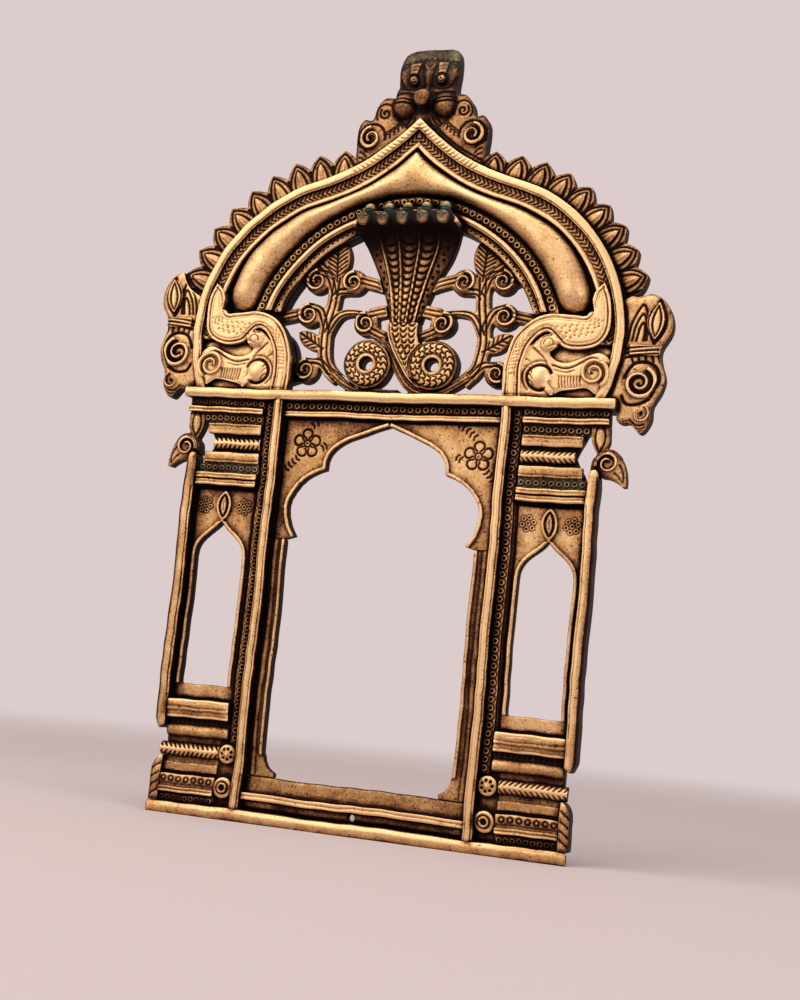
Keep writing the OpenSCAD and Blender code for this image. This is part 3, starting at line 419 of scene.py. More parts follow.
def carve_parrot(r):
    r.line(spiral(parrot_eye, 2.5, 0.5, 200, -300, 40), 0.6, -0.5)
    r.line(parrot_eye + through([(3.4, -0.2), (4.6, -2.6), (4.9, -5.2)]), 0.5, -0.45)
    r.line(parrot_eye + through([(2.2, -2.6), (3.4, -3.6), (4.6, -5.2)]), 0.5, -0.4)
    r.line(arc(parrot_eye, 3.3, 100, 230, 20), 0.5, -0.4)


def carve_outer_rim(r):
    side = arch_side(1.35)
    r.line(arch_side(2.45), 0.5, -0.35)
    r.line(arch_side(0.5), 0.4, -0.15)
    near_apex = side[side[:, 1] > apex_z - 17]
    r.lines(strokes_along(near_apex, 1.45, 2.2, 62), 0.5, -0.42)


def carve_chevron_band(r):
    middle = arch_side(2.7 + 1.35, -20)
    r.lines(strokes_along(middle, 1.5, 1.5, 38, 0.55), 0.46, -0.42)
    r.lines(strokes_along(middle, 1.5, 1.5, -38, -0.55), 0.46, -0.42)


def carve_ridge(r):
    r.line(arch_side(5.55, -20), 0.4, -0.2)


def carve_roll(r):
    casting_pits = [(6, 62, 0.5), (-10, 58, 0.45), (21, 52, 0.4), (-28, 44, 0.5), (38, 38, 0.45),
                    (-3, 66, 0.4)]
    for x, z, size in casting_pits:
        r.dot((x, lintel_top + z), size, -0.12)


def carve_bead_band(r):
    r.punches(arc(opening, 48.0, 12, 168, 90), 2.45, 1.1)
    for radius in (46.75, 49.3):
        r.line(arc(opening, radius, 10, 170, 90), 0.4, -0.35)


def carve_inner_rim(r):
    r.line(arc(opening, 44.5, 10, 170, 90), 0.7, -0.4)
    for spot in spaced(arc(opening, 43.2, 12, 168, 90), 1.75)[0]:
        r.ring(spot, 0.55, 0.42, 0.28)
        r.dot(spot, 0.34, -0.4)


makara_at = np.array([arch_x, lintel_top])
TRUNK_OUTER = through([(-33.2, 0), (-33.4, 9), (-31.4, 17), (-27, 22.2), (-20.8, 24.2), (-14.4, 23.6),
                       (-10.8, 23.6), (-9.8, 27.4), (-8.8, 30.6), (-6.4, 33)])
TRUNK_INNER = through([(-6.4, 33), (-4.6, 28.6), (-4, 23), (-4.6, 18), (-7.2, 15), (-12, 13.8), (-16.6, 14.6),
                       (-18.8, 16.6), (-21.6, 19), (-24.6, 17.8), (-27.2, 13.4), (-28.2, 7.6), (-27.8, 0)])


def carve_makara(r):
    at = makara_at
    for edge in (TRUNK_OUTER, TRUNK_INNER):
        r.line(at + moved_aside(edge, -0.95), 0.6, -0.65)
        r.line(at + moved_aside(edge, -1.75), 0.4, -0.32)
    outer, inner = spaced(TRUNK_OUTER, 1.0)[0], spaced(TRUNK_INNER[::-1], 1.0)[0]
    share = np.linspace(0.12, 0.8, 34)
    for k, t in enumerate(share):
        one = outer[int(t * (len(outer) - 1))]
        two = inner[int(t * (len(inner) - 1))]
        for across in (0.36, 0.5, 0.64):
            r.dot(at + one + (two - one) * (across + 0.05 * (k % 2)), 0.36, -0.28)
    thigh = at + (-22.8, 5.8)
    r.line(arc(thigh, 3.7, 20, 300, 30), 0.7, -0.7)
    r.line(arc(thigh, 4.9, 70, 230, 24), 0.5, -0.45)
    for k in range(8):
        x = -17.2 + 0.85 * k
        r.line(at + through([(x, 6.2), (x + 0.12, 4.6), (x + 0.5, 3.0)], 3), 0.45, -0.5)
    r.line(at + spiral((-7.4, 7.2), 3.5, 0.5, -60, 560, 60), 0.65, -0.65)
    r.line(at + through([(-19.4, 9.4), (-16, 8.6), (-12.6, 9.4), (-8.4, 11.6), (-5.0, 10.6)]), 0.6, -0.6)
    r.line(at + through([(-18.6, 8.0), (-15.8, 7.4), (-13.0, 8.0)]), 0.45, -0.36)
    r.line(at + arc((-21, 15.6), 1.5, -20, 200, 14), 0.5, -0.45)
    r.line(at + through([(-21.0, 14.2), (-19.8, 14.9), (-18.4, 15.2)]), 0.45, -0.45)
    r.line(at + through([(-25.4, 14.6), (-23.4, 12.8), (-21.8, 11.2), (-20.8, 9.0)]), 0.5, -0.45)
    for k in range(4):
        start = at + (-27.2 + 0.3 * k, 11.0 - 2.0 * k)
        r.line(through([start, start + (1.2, -0.6), start + (1.9, -2.0)], 3), 0.42, -0.36)


VINE_TRUNK = through([(19.6, 4.6), (23.6, 8.6), (25, 14.6), (24.6, 21.5), (23.4, 28), (22.8, 36)])
VINE_SCROLLS = [(17.2, 34.6), (29.2, 35), (12, 22), (30.6, 24.4), (30, 7.4)]
VINE_BRANCHES = [[(23.2, 30), (21.4, 31.6), (17.2, 31.4)], [(23.2, 30.6), (25.4, 36.4), (29.2, 37.8)],
                 [(24.6, 18.6), (20.6, 24.6), (13, 25.2)], [(24.8, 20), (27, 25.8), (30.6, 27.4)],
                 [(22.4, 6.4), (25.6, 9.6), (30, 10.4)]]
VINE_TIES = [[(15, 35.4), (7, 33.2)], [(31, 34.6), (37.6, 38.2)], [(10.4, 20), (4, 17.2)],
             [(32, 25), (42, 23.4)], [(32, 6), (38, 4)], [(11, 25), (4.4, 26.4)], [(24, 36), (30.6, 41.6)]]
SIDE_LEAVES = [((29.4, 16.4), -58, 10), ((36, 13.6), -20, 12)]


def leaf_veins(r, base, along, half, count):
    """A mid rib with pairs of veins that lean towards the tip."""
    across = np.array([-along[1], along[0]]) / np.linalg.norm(along)
    r.line([base, base + along], 0.55, -0.6)
    for k in range(1, count):
        spot = base + along * 0.8 * k / count
        for side in (-1, 1):
            r.line([spot, spot + along * 0.16 + side * across * half], 0.5, -0.5)


def carve_vine(r):
    up = np.array([0, lintel_top])
    r.pair(VINE_TRUNK + up, 0.9, 0.6, -0.6)
    for branch in VINE_BRANCHES:
        r.pair(through(branch) + up, 0.7, 0.55, -0.6)
    for tie in VINE_TIES:
        r.pair(np.array(tie) + up, 0.7, 0.5, -0.5)
    for centre in VINE_SCROLLS:
        r.line(spiral(np.array(centre) + up, 2.5, 0.3, 90, -420, 44), 0.8, -0.75)
        r.dot(np.array(centre) + up, 0.7, 0.35)
    leaf_veins(r, np.array([22.8, 34.8]) + up, 13.6 * heading(85), 3.0, 8)
    for heart, turn, length in SIDE_LEAVES:
        along = length * heading(90 + turn)
        leaf_veins(r, np.array(heart) + up - along / 2, along, 1.8, 5)


def carve_vine_runner(r):
    left = through([(-21.4, 6.4), (-16.6, 3), (-9, 1.2), (0, 0.9)]) + (0, lintel_top)
    tail = through([(-7, 7.4), (-4.4, 5), (-2, 1), (0.6, -3.4), (4.2, -7), (9.8, -8.4), (15.4, -6.6),
                    (21.4, -3.1)]) + (0, coil_z)
    for path in (left, tail):
        r.pair(path, 0.55, 0.42, -0.38)


COIL_X, COIL_R = 10.4, 7.6
NECK_HEIGHTS = [-6.8, -3.4, 1.0, 5.2, 9.0, 12.8]
NECK_LEFT = [6.4, 2.4, -0.4, -2.8, -4.4, -4.8]
coil_z = lintel_top + 9.5


def scale_edge(x, z, wide, shoulder, top):
    """The lower edge of a snake's scale, open at the top."""
    half = [(-1, top), (-0.6, shoulder), (0, 0), (0.6, shoulder), (1, top)]
    return through([(x + wide * share, z + rise) for share, rise in half], 4)


def carve_coils(r):
    for side in (-1, 1):
        eye = np.array([side * COIL_X, coil_z])
        r.ring(eye, 2.5, 0.6, 0.35)
        r.ring(eye, 3.2, 0.4, -0.35)
        r.ring(eye, 6.9, 0.5, -0.45)
        for count, radius, half in ((15, 4.2, 0.75), (19, 5.8, 0.85)):
            for k in range(count):
                out = heading(360 / count * k)
                ahead = np.array([-out[1], out[0]])
                scale = [-half * out - 0.5 * ahead, -0.6 * half * out + 0.3 * ahead, 0.5 * ahead,
                         0.6 * half * out + 0.3 * ahead, half * out - 0.5 * ahead]
                r.line(through([eye + radius * out + step for step in scale], 3), 0.48, -0.55)
    border = through(list(zip(NECK_LEFT, NECK_HEIGHTS))) + (0, coil_z)
    r.line(moved_aside(border, -0.7), 0.5, -0.45)
    for height in np.arange(12.0, -3.0, -1.7):
        left = np.interp(height, NECK_HEIGHTS, NECK_LEFT) + 1.1
        right = min(4.5, COIL_X - math.sqrt(max(COIL_R ** 2 - height ** 2, 0)) - 0.3)
        count = max(1, round((right - left) / 2.4))
        pitch = (right - left) / count
        wide = 0.37 * pitch
        for x in left + pitch * (np.arange(count) + 0.5):
            z = coil_z + height
            r.line(scale_edge(x, z - 0.25, wide, 0.25, 1.05), 0.5, -0.5)
            r.dot((x, z + 0.6), 0.5 * wide + 0.15, 0.2)


HOOD_HEIGHTS = [0, 6, 13, 19, 23, 26, 28, 30, 32]
HOOD_HALVES = [4.8, 6.4, 9.2, 12.2, 14.2, 15.8, 16.6, 15.2, 13.4]
hood_base = coil_z + 12.8


def carve_hood(r):
    heights = np.linspace(0, 25.5, 40)
    halves = np.interp(heights, HOOD_HEIGHTS, HOOD_HALVES)
    for share in (-0.62, -0.22, 0.22, 0.62):
        path = np.stack([share * halves, hood_base + heights], 1)
        r.line(path, 0.9, 0.55)
        r.pair(path, 0.6, 0.4, -0.4)
    for share in (-0.42, 0.0, 0.42):
        for k in range(12):
            height = 0.6 + 2.05 * k
            half = np.interp(height, HOOD_HEIGHTS, HOOD_HALVES)
            wide = 0.15 * half + 0.15
            x, z = share * half, hood_base + height
            r.line(scale_edge(x, z, wide, 0.2, 1.0), 0.55, -0.5)
            r.dot((x, z + 0.95), 0.5 * wide + 0.2, 0.2)
    for share in (-0.82, 0.82):
        for k in range(14):
            height = 1.4 + 1.75 * k
            half = np.interp(height, HOOD_HEIGHTS, HOOD_HALVES)
            r.dot((share * half + 0.35 * (-1) ** k, hood_base + height), 0.5, -0.35)


HEAD_PITCH = 6.6


def carve_heads(r):
    for k in range(-2, 3):
        x, z = k * HEAD_PITCH * 0.94, hood_base + 29.0
        for side in (-1, 1):
            r.dot((x + side * 0.95, z + 0.75), 0.42, 0.3)
            r.ring((x + side * 0.95, z + 0.75), 0.5, 0.3, -0.25)


def carve_knobs(r):
    for k in range(-2, 3):
        x, z = k * HEAD_PITCH * 0.9, hood_base + 32.0
        r.line(row(x - 2, x + 2, z + 0.7), 0.4, -0.25)


PETAL_COUNT = 9
PETAL_W = 9.6
PETAL_FIRST, PETAL_LAST = 19.0, 84.4


def petal_lines(r, height):
    """Nested outlines on each petal, drawn once on all petals laid over each other."""
    pitch = (PETAL_LAST - PETAL_FIRST) / (PETAL_COUNT - 1)
    x, z = r.x - haunch[0], r.z - haunch[1]
    number = np.clip(np.round((np.degrees(np.arctan2(z, x)) - PETAL_FIRST) / pitch), 0, PETAL_COUNT - 1)
    turn = np.radians(PETAL_FIRST + pitch * number)
    one = Relief(np.sin(turn) * x - np.cos(turn) * z, np.cos(turn) * x + np.sin(turn) * z - HAUNCH_R)
    t = np.linspace(0, 1, 14)[:, None]
    ends = np.array([[PETAL_W / 2, -4], [PETAL_W * 0.66, height * 0.5], [PETAL_W * 0.32, height * 0.8],
                     [0, height]])
    edge = ((1 - t) ** 3 * ends[0] + 3 * t * (1 - t) ** 2 * ends[1] + 3 * t ** 2 * (1 - t) * ends[2]
            + t ** 3 * ends[3])
    valley = HAUNCH_R * math.tan(math.radians(pitch / 2))
    for way in (-1, 1):
        one.line([(way * 0.98 * valley, -2), (way * 1.1 * valley, 5)], 0.9, -0.7)
        for wide, tall in ((0.7, 0.9), (0.4, 0.76)):
            one.line(edge * (way * wide, tall), 0.62, -0.6)
    one.line([(0, 0.5), (0, 0.5 * height)], 0.8, 0.3)
    r.rise, r.cut = one.rise, one.cut


def corner_lines(r, rise):
    """Curls, a tied band and leaves on a corner scroll that sits higher or lower by the rise."""
    at = np.array([arch_x, lintel_top + rise])
    r.line(at + spiral((5.4, 8), 3.7, 0.4, 70, -500, 60), 0.9, -0.8)
    around = [(1.0, 9.6), (3.0, 13.4), (6.6, 14.2), (9.6, 12.6), (10.6, 8.6), (8.8, 4.4)]
    r.line(at + through(around), 0.8, -0.75)
    r.line(at + through([(0.6, 4.4), (2.0, 2.2), (5.2, 2.0), (8.4, 3.6)]), 0.7, -0.7)
    r.line(at + spiral((6.2, -0.6), 2.0, 0.3, 60, -400, 40), 0.6, -0.6)
    for k in range(3):
        r.line(at + arc((6.0, -1.0), 2.9 + 0.9 * k, 205, 300, 12), 0.5, -0.55)
    for z in (16.3, 17.5, 18.7):
        r.line(at + through([(0.6, z - 1.0), (6, z - 0.2), (12, z + 0.4)]), 0.6, -0.65)
    for k in range(5):
        start = at + (2.4 + 1.9 * k, 15.2 + 0.2 * k)
        r.line([start, start + (0.5, -1.5)], 0.6, -0.6)
    r.line(at + leaf_edge((8.2, 19.8), (9.4, 32.2), 5.2), 0.8, -0.8)
    r.line(at + leaf_edge((8.4, 21.2), (9.1, 30.2), 2.4), 0.65, -0.65)
    for k in range(3):
        inside = 1.15 * k
        frond = [(0.8 + inside, 20.2), (1.6 + inside, 25.0 - 0.6 * k), (4.6 + 0.2 * k, 30.6 - 2.6 * k),
                 (6.0 - 0.3 * k, 26.6 - 1.6 * k), (6.0 - 0.5 * k, 20.4)]
        r.line(at + through(frond), 0.6, -0.65)


def carve_apex_scroll(r):
    at = np.array([0, apex_z])
    r.line(at + spiral((16, -4.4), 2.6, 0.3, 90, -420, 50), 0.7, -0.55)
    r.line(at + arc((16, -4.4), 4.3, -30, 190, 30), 0.6, -0.5)
    r.line(at + spiral((12.4, 3.2), 1.9, 0.3, 40, -420, 40), 0.6, -0.5)
    r.line(at + arc((12.4, 3.2), 3.0, -40, 200, 24), 0.5, -0.45)
    along_arch = at + through([(3.4, -2.2), (6.6, -5.2), (11, -8.6), (16, -11.6), (20, -13.6)])
    for spot in spaced(along_arch, 1.15)[0]:
        r.ring(spot, 0.4, 0.36, 0.3)
    r.pair(along_arch, 0.9, 0.45, -0.45)
    scallops = at + through([(5.6, 0.4), (8.2, -2.2), (11.4, -4.6)])
    for spot in spaced(scallops, 1.5)[0]:
        r.line(arc(spot, 0.7, -30, 210, 12), 0.4, -0.42)
    r.line(moved_aside(scallops, 1.2), 0.45, -0.42)
    for k in range(4):
        start = at + (19.4, -7.0 - 1.7 * k)
        r.line(through([start, start + (-1.2, -0.4), start + (-2.2, -1.6)], 4), 0.5, -0.42)


def carve_mask(r):
    at = np.array([0, apex_z])
    for side in (-1, 1):
        flip = np.array([side, 1])
        eye = at + flip * (4.4, 13.8)
        r.ring(eye, 1.75, 0.5, -0.4)
        r.dot(eye, 0.5, -0.35)
        r.line(at + flip * through([(1.4, 12.0), (4.2, 10.8), (7.4, 11.6), (8.9, 14.2)]), 0.7, -0.5)
        for z, bend in ((6.6, 0.5), (5.5, 0.2)):
            r.line(at + flip * through([(2.4, z - 0.4), (6.4, z + bend), (10.4, z + 0.5)]), 0.6, -0.55)
        r.line(at + flip * through([(3.2, 8.6), (6.6, 9.6), (9.8, 8.8)]), 0.5, -0.4)
        for k in range(5):
            heart = at + flip * (0.9 + 1.75 * k, 21.2 - 0.12 * k * k)
            r.line(arc(heart, 0.85, 180, 360, 12), 0.45, -0.45)
        r.line(at + flip * through([(0.9, 10.6), (1.5, 14.6), (2.2, 19.4)]), 0.6, -0.5)
        for k in range(3):
            start = at + flip * (7.4 + 0.6 * k, 19.4 - 1.7 * k)
            r.line(start + flip * through([(0, 0), (0.9, 0.3), (1.2, -0.9)], 4), 0.45, -0.4)
            start = at + flip * (1.6 + 1.2 * k, 1.2 + 0.4 * k)
            r.line(start + flip * through([(0, 0), (0.5, -1.4), (1.6, -2.6)], 4), 0.45, -0.4)
    r.line(at + through([(-1.8, 19.0), (0, 17.2), (1.8, 19.0)]), 0.9, 0.4)
    r.line([at + (0, 16.4), at + (0, 11.0)], 1.2, 0.35)


def carve_none(r):
    pass


# Node: carving, voxel size, smoothing passes, width of its rounded edges and their drop
BUILDS = {
    "base_rail": (carve_base_rail, 0.35, 6, 1.2, 0.45),
    "sill_panel": (carve_sill_panel, 0.3, 4, 0, 0),
    "sill_bar": (carve_sill_bar, 0.25, 5, 0.9, 0.4),
    "jamb": (carve_jamb, 0.28, 5, 0.6, 0.25),
    "cusped_arch": (carve_cusped_arch, 0.2, 4, 0, 0),
    "cusp_rim": (carve_none, 0.2, 6, 0.55, 0.35),
    "lintel_fillet": (carve_lintel_fillet, 0.22, 5, 0.8, 0.4),
    "centre_bead_strip": (carve_centre_strip, 0.18, 3, 0, 0),
    "lintel": (carve_lintel, 0.32, 7, 1.4, 0.55),
    "inner_post": (carve_inner_post, 0.28, 8, 1.3, 0.6),
    "outer_post": (carve_outer_post, 0.28, 9, 1.5, 0.7),
    "bead_strip": (carve_bead_strip, 0.18, 3, 0, 0),
    "niche_panel": (carve_niche_panel, 0.2, 4, 0, 0),
    "niche_rim": (carve_niche_rim, 0.18, 6, 0.55, 0.35),
    "plinth": (carve_plinth, 0.2, 8, 0.9, 0.4),
    "plinth_rope": (carve_plinth_rope, 0.18, 4, 0, 0),
    "plinth_bosses": (carve_plinth_bosses, 0.18, 5, 0, 0),
    "plinth_leaf": (carve_plinth_leaf, 0.2, 7, 1.5, 0.8),
    "capital": (carve_capital, 0.2, 8, 0.9, 0.4),
    "capital_rope": (carve_capital_rope, 0.18, 4, 0, 0),
    "drop_leaf": (carve_drop_leaf, 0.18, 8, 2.0, 1.0),
    "parrot_bracket": (carve_parrot, 0.2, 8, 1.8, 0.9),
    "arch_plate": (carve_none, 0.4, 3, 0, 0),
    "arch_outer_rim": (carve_outer_rim, 0.25, 7, 1.3, 0.6),
    "arch_chevron_band": (carve_chevron_band, 0.22, 4, 0.6, 0.2),
    "arch_ridge": (carve_ridge, 0.25, 5, 0.75, 0.45),
    "arch_roll": (carve_roll, 0.32, 6, 0, 0),
    "arch_bead_band": (carve_bead_band, 0.2, 3, 0.4, 0.15),
    "arch_inner_rim": (carve_inner_rim, 0.22, 5, 0.9, 0.45),
    "makara": (carve_makara, 0.2, 8, 1.6, 0.8),
    "vine_runner": (carve_vine_runner, 0.22, 6, 1.2, 0.8),
    "vine": (carve_vine, 0.2, 8, 1.5, 0.9),
    "naga_coils": (carve_coils, 0.2, 6, 0.9, 0.4),
    "naga_hood": (carve_hood, 0.22, 6, 0, 0),
    "naga_heads": (carve_heads, 0.18, 6, 0, 0),
    "hood_knobs": (carve_knobs, 0.18, 6, 0, 0),
    "left_petals": (lambda r: petal_lines(r, 9.8), 0.2, 8, 1.8, 0.9),
    "right_petals": (lambda r: petal_lines(r, 8.2), 0.2, 8, 1.8, 0.9),
    "left_corner_scroll": (lambda r: corner_lines(r, 3.2), 0.22, 8, 2.0, 1.1),
    "right_corner_scroll": (lambda r: corner_lines(r, -3.2), 0.22, 8, 2.0, 1.1),
    "apex_scroll": (carve_apex_scroll, 0.2, 8, 2.0, 1.1),
    "lion_mask": (carve_mask, 0.2, 7, 1.8, 0.9),
    "mask_ball": (carve_none, 0.2, 6, 0, 0),
}
# Pieces that carry the same carving on both halves
BOTH_HALVES = ("arch_outer_rim", "arch_chevron_band", "arch_ridge")
# Bars whose ends run on into others
UPRIGHT_BARS = ("left_inner_post", "right_inner_post")
LEVEL_BARS = ("sill_bar", "lintel_fillet")


def build_of(node):
    for name in (node, node.replace("left_", "", 1).replace("right_", "", 1)):
        if name in BUILDS:
            return BUILDS[name]
    raise KeyError(node)


# Casting: a soft, slightly uneven copy of a CAD solid
CELL = 0.25   # grid cell of the front view
STEP = 0.45   # a drop that counts as an edge
EMPTY = -1e3  # height of a cell that no point falls in
# How far the ends of upright bars run into the lintel and the rail, and how far they sink back there
END_UP, END_DOWN, END_SINK = 1.3, 0.8, 0.9


def blurred(values, cells):
    """Mean over a square window, by running sums."""
    for axis in (0, 1):
        padded = np.pad(values, [(cells + 1, cells) if k == axis else (0, 0) for k in (0, 1)], mode="edge")
        total = np.cumsum(padded, axis=axis)
        size = values.shape[axis]
        high = np.take(total, np.arange(size) + 2 * cells + 1, axis=axis)
        low = np.take(total, np.arange(size), axis=axis)
        values = (high - low) / (2 * cells + 1)
    return values


def shifted(values, i, k):
    """A grid of heights moved by whole cells."""
    out = np.full_like(values, EMPTY)
    wide, tall = values.shape
    out[max(i, 0):wide + min(i, 0), max(k, 0):tall + min(k, 0)] = (
        values[max(-i, 0):wide + min(-i, 0), max(-k, 0):tall + min(-k, 0)])
    return out


def edge_distance(points, seen, reach, across=True, upright=True):
    """How far each point is, in the front view, from an edge where the face drops away.

    A bar whose ends are seated on others counts only the edges along its sides.
    """
    pad = int(reach / CELL) + 2
    low = points[seen].min(0)
    i = np.clip(((points[:, 0] - low[0]) / CELL).astype(int) + pad, 0, None)
    k = np.clip(((points[:, 2] - low[2]) / CELL).astype(int) + pad, 0, None)
    top = np.full((i.max() + pad + 1, k.max() + pad + 1), EMPTY)
    np.maximum.at(top, (i[seen], k[seen]), -points[seen, 1])
    around = [(1, 0), (-1, 0), (0, 1), (0, -1)]
    for _ in range(2):
        beside = np.stack([shifted(top, a, b) for a, b in around])
        top = np.where((top == EMPTY) & ((beside > EMPTY).sum(0) >= 2), beside.max(0), top)
    far = np.full(top.shape, reach)
    for a in range(-pad, pad + 1) if across else (0,):
        for b in range(-pad, pad + 1) if upright else (0,):
            away = CELL * math.hypot(a, b)
            if 0 < away < reach:
                lower = shifted(top, a, b) < top - STEP - 0.8 * away
                far = np.where(lower, np.minimum(far, away - CELL / 2), far)
    return blurred(far, 1)[i, k]


def evened(points, edges, passes):
    """Moves each point half of the way to the mean of its neighbours, several times."""
    count = len(points)
    degree = np.bincount(edges.ravel(), minlength=count).astype(float)[:, None] + 1e-9
    for _ in range(passes):
        total = np.zeros_like(points)
        for k in range(3):
            total[:, k] = (np.bincount(edges[:, 0], points[edges[:, 1], k], count)
                           + np.bincount(edges[:, 1], points[edges[:, 0], k], count))
        points = points + 0.5 * (total / degree - points)
    return points


def hand_warp(points):
    """Unevenness of hand-formed wax, one field for all pieces, so that touching pieces stay together."""
    x, _, z = points.T
    slow_x = 0.18 * np.sin(z / 6.3 + 0.6 * np.sin(z / 17) + x / 23)
    quick_x = 0.07 * np.sin(z / 1.9 + 2 * np.sin(z / 7.3) + x / 4)
    depth = 0.10 * np.sin(x / 5 + z / 8) + 0.05 * np.sin(z / 2.3 + x / 3.1)
    slow_z = 0.15 * np.sin(x / 7.1 + z / 29)
    quick_z = 0.07 * np.sin(x / 1.9 + 1.7 * np.sin(x / 8.1) + z / 5)
    return np.stack([slow_x + quick_x, depth, slow_z + quick_z], 1)


def column(items, label, width, kind=float):
    """Values of all points or edges of a mesh, one row each."""
    out = np.empty(len(items) * width, dtype=kind)
    items.foreach_get(label, out)
    return out.reshape(-1, width)


def cast_piece(node):
    """The dressed copy of one node: remeshed, softened, carved, rounded at its edges and warped a little."""
    carve, voxel, passes, reach, drop = build_of(node)
    solid = frame["nodes"][node].data.copy()
    welded = bmesh.new()
    welded.from_mesh(solid)
    bmesh.ops.remove_doubles(welded, verts=welded.verts, dist=1e-6)
    welded.to_mesh(solid)
    welded.free()
    piece = bpy.data.objects.new("cast_" + node, solid)
    bpy.context.scene.collection.objects.link(piece)
    remesh = piece.modifiers.new("wax", "REMESH")
    remesh.mode = "VOXEL"
    remesh.voxel_size = voxel * MM
    remesh.use_smooth_shade = True
    held = piece.evaluated_get(bpy.context.evaluated_depsgraph_get())
    mesh = bpy.data.meshes.new_from_object(held)
    piece.modifiers.clear()
    piece.data = mesh
    edges = column(mesh.edges, "vertices", 2, np.int32)
    points = evened(column(mesh.vertices, "co", 3) / MM, edges, passes)
    low, high = node_box(node)
    shrunk, span = points.min(0), np.ptp(points, axis=0)
    points = low + (points - shrunk) / span * (high - low)
    if node in UPRIGHT_BARS:
        points[:, 2] += END_UP * np.clip((points[:, 2] - high[2] + 2) / 2, 0, 1)
        points[:, 2] -= END_DOWN * np.clip((low[2] - points[:, 2] + 2) / 2, 0, 1)
        past_end = np.maximum(points[:, 2] - high[2], low[2] - points[:, 2])
        points[:, 1] += END_SINK * np.clip(past_end + 0.3, 0, 1)
    mesh.vertices.foreach_set("co", (points * MM).ravel())
    mesh.update()
    normals = column(mesh.vertices, "normal", 3)
    facing = np.clip((-normals[:, 1] - 0.15) / 0.5, 0, 1)
    from_middle = -points[:, 0] if node.startswith("left_") else points[:, 0]
    relief = Relief(np.abs(from_middle) if node in BOTH_HALVES else from_middle, points[:, 2])
    carve(relief)
    height = relief.rise + relief.cut
    if reach:
        far = edge_distance(points, normals[:, 1] < -0.3, reach,
                            across=node not in LEVEL_BARS, upright=node not in UPRIGHT_BARS)
        inward = 1 - np.clip(far / reach, 0, 1)
        height -= drop * (1 - np.sqrt(1 - inward ** 2))
    points = evened(points + normals * (height * facing)[:, None], edges, 2 if reach > 1 else 1)
    points += hand_warp(points)
    mesh.vertices.foreach_set("co", (points * MM).ravel())
    mesh.update()
    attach(piece, "root")
    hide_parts(node)
    cut = mesh.attributes.new("engraved", "FLOAT", "POINT")
    cut.data.foreach_set("value", (relief.cut * facing).astype(np.float32))
    return piece


# Wear and painted shade: how far a spot stands out from the relief around it; hollows, grooves and faces
# turned from the front are darkened, partly as patina and partly as painted shade
GRID = 0.4
FLAT_FRONT_LEVEL, CAST_BACK_LEVEL = 0.64, 0.56   # of a level front face, and of the cast back


def verdigris_on(name, points):
    """Share of grey-green stain: on the hood's knobs and heads, the mask's crown and under the lintel."""
    z = points[:, 2]
    if name == "cast_hood_knobs":
        return np.full(len(z), 0.8)
    if name == "cast_naga_heads":
        return np.interp(z, [hood_base + 27, hood_base + 31], [0.25, 0.75])
    if name == "cast_lion_mask":
        return np.interp(z, [apex_z + 12, apex_z + 20, apex_z + 25], [0.0, 0.15, 0.6])
    if name == "cast_naga_hood":
        return np.interp(z, [hood_base + 27, hood_base + 31], [0.0, 0.12])
    if name in ("cast_left_capital", "cast_right_capital"):
        return np.where(np.abs(z - niche_top - 5.8) < 1.4, 0.3, 0.03)
    return np.zeros(len(z))


# Pieces that are handled less, or more if below zero; the first name that fits counts
SOIL = {"petals": 0.09, "mask_ball": 0.66, "apex_scroll": 0.13, "bead_strip": 0.14,
        "bead_band": 0.08, "inner_rim": 0.1, "chevron_band": 0.05, "jamb": 0.08, "vine": 0.04,
        "cusp_rim": 0.12, "niche_rim": 0.12, "naga_heads": 0.72, "hood_knobs": 0.5, "bosses": 0.1,
        "makara": -0.18, "rope": 0.0, "plinth": 0.11, "capital": 0.1, "sill": 0.08}
LEFT_DARKER = 0.09   # the left panels and posts are browner than the right ones


def soil_and_painted_shade(name, points):
    """How much darker a spot is: for want of handling, and painted shade on the hood under the heads, the
    right side of the posts, the foot of the base rail and the panel edges; the left panels and posts are also
    made browner; below zero where it is brighter.
    """
    x, z = np.abs(points[:, 0]), points[:, 2]
    on_left = np.clip(0.5 - points[:, 0] / 8, 0, 1)
    if name == "cast_lion_mask":
        return np.interp(z, [apex_z + 1, apex_z + 6, apex_z + 20], [0.18, 0.28, 0.24])
    if name == "cast_naga_hood":
        # Painted shade: the hood gets darker towards the top, under the overhanging heads, and a little
        # lighter at its foot
        return np.interp(z, hood_base + np.array([0, 8, 20, 27, 31]), [-0.05, 0.0, 0.2, 0.5, 0.8])
    if name == "cast_cusped_arch":
        # Painted shade along the posts and under the lintel strip; lighter further in
        frame_gap = np.minimum(inner_post_low[0] - x, lintel_z - 5 - z)
        return np.interp(frame_gap, [0.5, 3, 8], [0.2, 0.02, -0.1]) + LEFT_DARKER * on_left
    if "niche_panel" in name:
        # Painted shade along the edges of the niche frame; lighter further in
        frame_gap = np.minimum(np.minimum(x - niche_low[0], niche_high[0] - x), niche_top - z)
        return np.interp(frame_gap, [0.3, 1.5, 4.5], [0.22, 0.05, -0.1]) + LEFT_DARKER * on_left
    if "post" in name:
        # Painted light: bright along the left edge that faces the key light, with painted shade browner
        # towards the right edge
        across = points[:, 0] - points[:, 0].min()
        painted_side_shade = np.interp(across / across.max(), [0.3, 0.65, 1.0], [0.02, 0.15, 0.3])
        return painted_side_shade + LEFT_DARKER * on_left
    if name == "cast_base_rail":
        # Painted shade: darker towards the bottom of the rail, lighter at its top edge
        return np.interp(z, [1, 3.5, 5], [0.14, 0.08, 0.0])
    for part, amount in SOIL.items():
        if part in name:
            return np.full(len(z), amount)
    return np.zeros(len(z))


